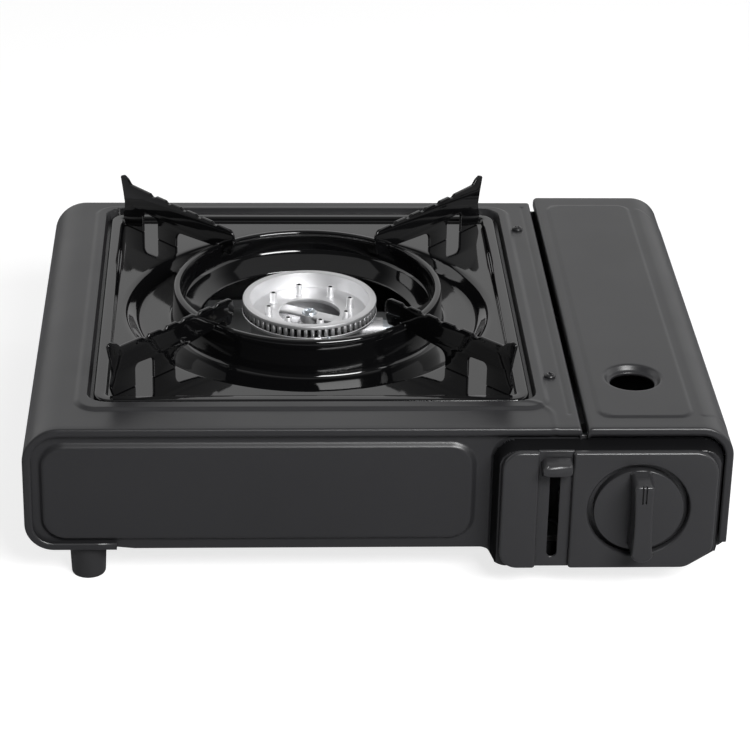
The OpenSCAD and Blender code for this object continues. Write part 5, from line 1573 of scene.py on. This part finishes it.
class Foot(Piece):
    """Tapered rubber foot."""

    finish = "rubber_foot"

    def __init__(self, where: str) -> None:
        self.name = f"pad_{where}"
        self.nodes = (f"foot_{where}",)

    def make(self) -> bpy.types.Object:
        low, high = box_mm(self.nodes[0])
        x, y = (low.x + high.x) / 2, (low.y + high.y) / 2 - CASING.front_y
        h = high.z
        profile = [(2.15, h - 0.2), (2.15, 5.0), (4.25, 5.0), (4.25, 0.5), (4.7, 0.0), (7.4, 0.0),
                   (8.0, 0.18), (8.25, 0.75), (8.3, 1.4), (8.95, h - 1.2), (8.9, h - 0.35),
                   (8.6, h - 0.05), (2.15, h - 0.05)]
        obj = Shape().lathe(profile, x, y, 64).build(self.name, self.finish, 32, merge=0.01)
        with edited(obj.data) as bm:
            bmesh.ops.recalc_face_normals(bm, faces=bm.faces)
        soften(obj.data, 32)
        return obj


class IgnitionLead(Piece):
    """Igniter lead, swept along the CAD route."""

    name = "spark_lead"
    nodes = ("ignition_lead",)
    finish = "lead_jacket"

    diameter = 2.5
    sides, cad_sides = 14, 8

    def route(self) -> list[Point3]:
        """Middle line of the CAD lead, from the rings of its tube."""
        n = self.cad_sides
        seen: list[Vector] = []
        for v in (v.co / MM for v in frame["nodes"]["ignition_lead"].data.vertices):
            if all((v - s).length > 0.01 for s in seen[-5 * n:]):
                seen.append(v)
        rings = [sum(seen[i:i + n], Vector()) / n for i in range(0, len(seen) - n + 1, n)]
        return [(p.x, p.y - CASING.front_y, p.z) for p in rings]

    def make(self) -> bpy.types.Object:
        return sweep(self.name, self.route(), self.diameter, self.sides, self.finish)


# --------------------------------------------------------------------------- CAD pieces shown as they are


class FrameDress:
    """Gives the CAD nodes that stay visible their finish and softened edges."""

    edges: dict[str, float] = {
        "cup_casting": 0.5, "brass_fitting": 0.25, "black_plastic": 0.3, "pale_plastic": 0.25,
        "white_ceramic": 0.25, "lead_jacket": 0.1,
    }
    plain_edge = 0.2

    def dress(self) -> None:
        """Goes over every CAD node that no piece stands for."""
        slots = {s["node"]: s["material_slot"] for s in frame["record"]["subparts"]}
        for node, obj in frame["nodes"].items():
            if obj.hide_render:
                continue
            slot = slots[node]
            obj.data.materials.clear()
            obj.data.materials.append(SHOP.get(slot))
            mod = obj.modifiers.new("edges", "BEVEL")
            mod.width = self.edges.get(slot, self.plain_edge) * MM
            mod.segments = 2
            mod.limit_method = "ANGLE"
            mod.angle_limit = math.radians(40)
            log.info("%s dressed as %s", node, slot)


# --------------------------------------------------------------------------- studio


class Studio:
    """Camera, floor, lights and surroundings."""

    eye: Point3 = (-64.8, -1145.0, 691.9)
    angles: Point3 = (63.199279, -1.152296, -2.499155)
    focal_px, photo_px, sensor_mm = 2738.45, 750.0, 36.0

    floor_half = 6.0
    wall_side = (-0.15, 0.45)
    wall_top = (0.80, 0.56)
    dim, bright = 0.06, 1.02

    def camera(self) -> None:
        """Sets the camera at the photo's place and lens."""
        data = bpy.data.cameras.new("camera")
        data.sensor_width = self.sensor_mm
        data.lens = self.focal_px / self.photo_px * self.sensor_mm
        data.clip_start, data.clip_end = 0.05, 30.0
        cam = add_object("camera", data)
        turn = Euler([math.radians(a) for a in self.angles]).to_matrix().to_4x4()
        cam.matrix_world = Matrix.Translation(row_point(*self.eye)) @ turn
        bpy.context.scene.camera = cam

    def show(self, net: Wiring, end: str, camera: bpy.types.NodeSocket, others: bpy.types.NodeSocket) -> None:
        """Ends a tree with one shader for the camera's rays and another for all the others.

        Args:
            net: The tree.
            end: Type name of its output node.
            camera: Shader that the camera sees.
            others: Shader that other rays meet.
        """
        path = net.node("ShaderNodeLightPath", {})
        mix = net.node("ShaderNodeMixShader", {0: path.outputs["Is Camera Ray"], 1: others, 2: camera})
        net.node(end, {"Surface": mix.outputs[0]})

    def floor(self) -> None:
        """Adds a pale floor that shows white to the camera with a soft shadow."""
        data = bpy.data.meshes.new("floor")
        s = self.floor_half
        data.from_pydata([(-s, -s, 0), (s, -s, 0), (s, s, 0), (-s, s, 0)], [], [(0, 1, 2, 3)])
        mat = bpy.data.materials.new("floor")
        mat.use_nodes = True
        mat.node_tree.nodes.clear()
        net = Wiring(mat.node_tree)
        lit = net.node("ShaderNodeBsdfDiffuse", {"Color": (0.93, 0.93, 0.93, 1)})
        glow = net.node("ShaderNodeEmission", {"Color": (1, 1, 1, 1), "Strength": 1.28})
        seen = net.node("ShaderNodeMixShader", {0: 0.60, 1: lit.outputs[0], 2: glow.outputs[0]})
        bounced = net.node("ShaderNodeBsdfDiffuse", {"Color": (0.30, 0.30, 0.31, 1)})
        self.show(net, "ShaderNodeOutputMaterial", seen.outputs[0], bounced.outputs[0])
        data.materials.append(mat)
        obj = add_object("floor", data)

    def light(self, name: str, place: Point3, target: Point3, size: Point2, power: float) -> None:
        """Adds a soft rectangular light.

        Args:
            name: Name of the light.
            place: Its place in metres.
            target: Point that it faces.
            size: Width and height in metres.
            power: Power in watts.
        """
        data = bpy.data.lights.new(name, "AREA")
        data.shape = "RECTANGLE"
        data.size, data.size_y = size
        data.energy = power
        obj = add_object(name, data)
        obj.location = place
        obj.rotation_mode = "QUATERNION"
        obj.rotation_quaternion = (Vector(target) - Vector(place)).to_track_quat("-Z", "Y")

    def world(self) -> None:
        """White to the camera; a low bright wall behind the stove for its reflections, dim elsewhere."""
        world = bpy.data.worlds.new("studio")
        world.use_nodes = True
        world.node_tree.nodes.clear()
        net = Wiring(world.node_tree)
        coord = net.node("ShaderNodeTexCoord", {})
        split = net.node("ShaderNodeSeparateXYZ", {0: coord.outputs["Generated"]})
        behind = self.ramp(net, split.outputs["Y"], self.wall_side)
        low = self.ramp(net, split.outputs["Z"], self.wall_top)
        wall = net.node("ShaderNodeMath", {0: behind, 1: low}, operation="MULTIPLY")
        inputs = {"Value": wall.outputs[0], "To Min": self.dim, "To Max": self.bright}
        level = net.node("ShaderNodeMapRange", inputs)
        room = net.node("ShaderNodeBackground", {"Strength": level.outputs["Result"]})
        white = net.node("ShaderNodeBackground", {"Color": (1, 1, 1, 1)})
        self.show(net, "ShaderNodeOutputWorld", white.outputs[0], room.outputs[0])
        bpy.context.scene.world = world

    def ramp(self, net: Wiring, value: bpy.types.NodeSocket, ends: Point2) -> bpy.types.NodeSocket:
        """Smooth step from 0 at the first end to 1 at the second."""
        start, end = (0, 1) if ends[0] < ends[1] else (1, 0)
        inputs = {"Value": value, "From Min": min(ends), "From Max": max(ends),
                  "To Min": start, "To Max": end}
        return net.node("ShaderNodeMapRange", inputs, interpolation_type="SMOOTHSTEP").outputs["Result"]

    def set_up(self) -> None:
        """Builds the whole studio."""
        bpy.context.scene.view_settings.view_transform = "Standard"
        self.camera()
        self.floor()
        self.world()
        self.light("overhead", (0.0, 0.10, 1.6), (0.0, 0.0, 0.0), (2.0, 1.0), 2.0)
        self.light("key", (0.56, -1.09, 1.03), (0.0, 0.0, 0.05), (0.85, 0.5), 29.0)
        self.light("left", (-1.5, 0.1, 0.7), (0.0, 0.0, 0.05), (1.2, 0.9), 3.0)
        self.light("right", (1.5, 0.1, 0.7), (0.0, 0.0, 0.05), (1.2, 0.9), 3.0)


# --------------------------------------------------------------------------- main


def stove_pieces() -> list[Piece]:
    """Every piece that stands for a CAD node, in build order."""
    corners = (("front_left", -1, -1), ("front_right", 1, -1), ("rear_left", -1, 1), ("rear_right", 1, 1))
    kinds = (BodyShell, FrontWall, RearWall, DripPan, BurnerHead, BurnerScrew, DeckScrews, CanisterLid,
             ControlPanel, ControlKnob, LeverKnob, LeverArm, IgnitionLead)
    pieces: list[Piece] = [kind() for kind in kinds]
    pieces += [PotSupport(where, sx, sy) for where, sx, sy in corners]
    pieces += [Foot(where) for where, _, _ in corners]
    return pieces


def write_size() -> None:
    """Updates the view layer so that every object's place is current."""
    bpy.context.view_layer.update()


def main() -> None:
    """Builds the pieces, dresses the rest and sets up the studio."""
    for piece in stove_pieces():
        piece.install()
    FrameDress().dress()
    Studio().set_up()
    write_size()


if __name__ == "__main__":
    main()
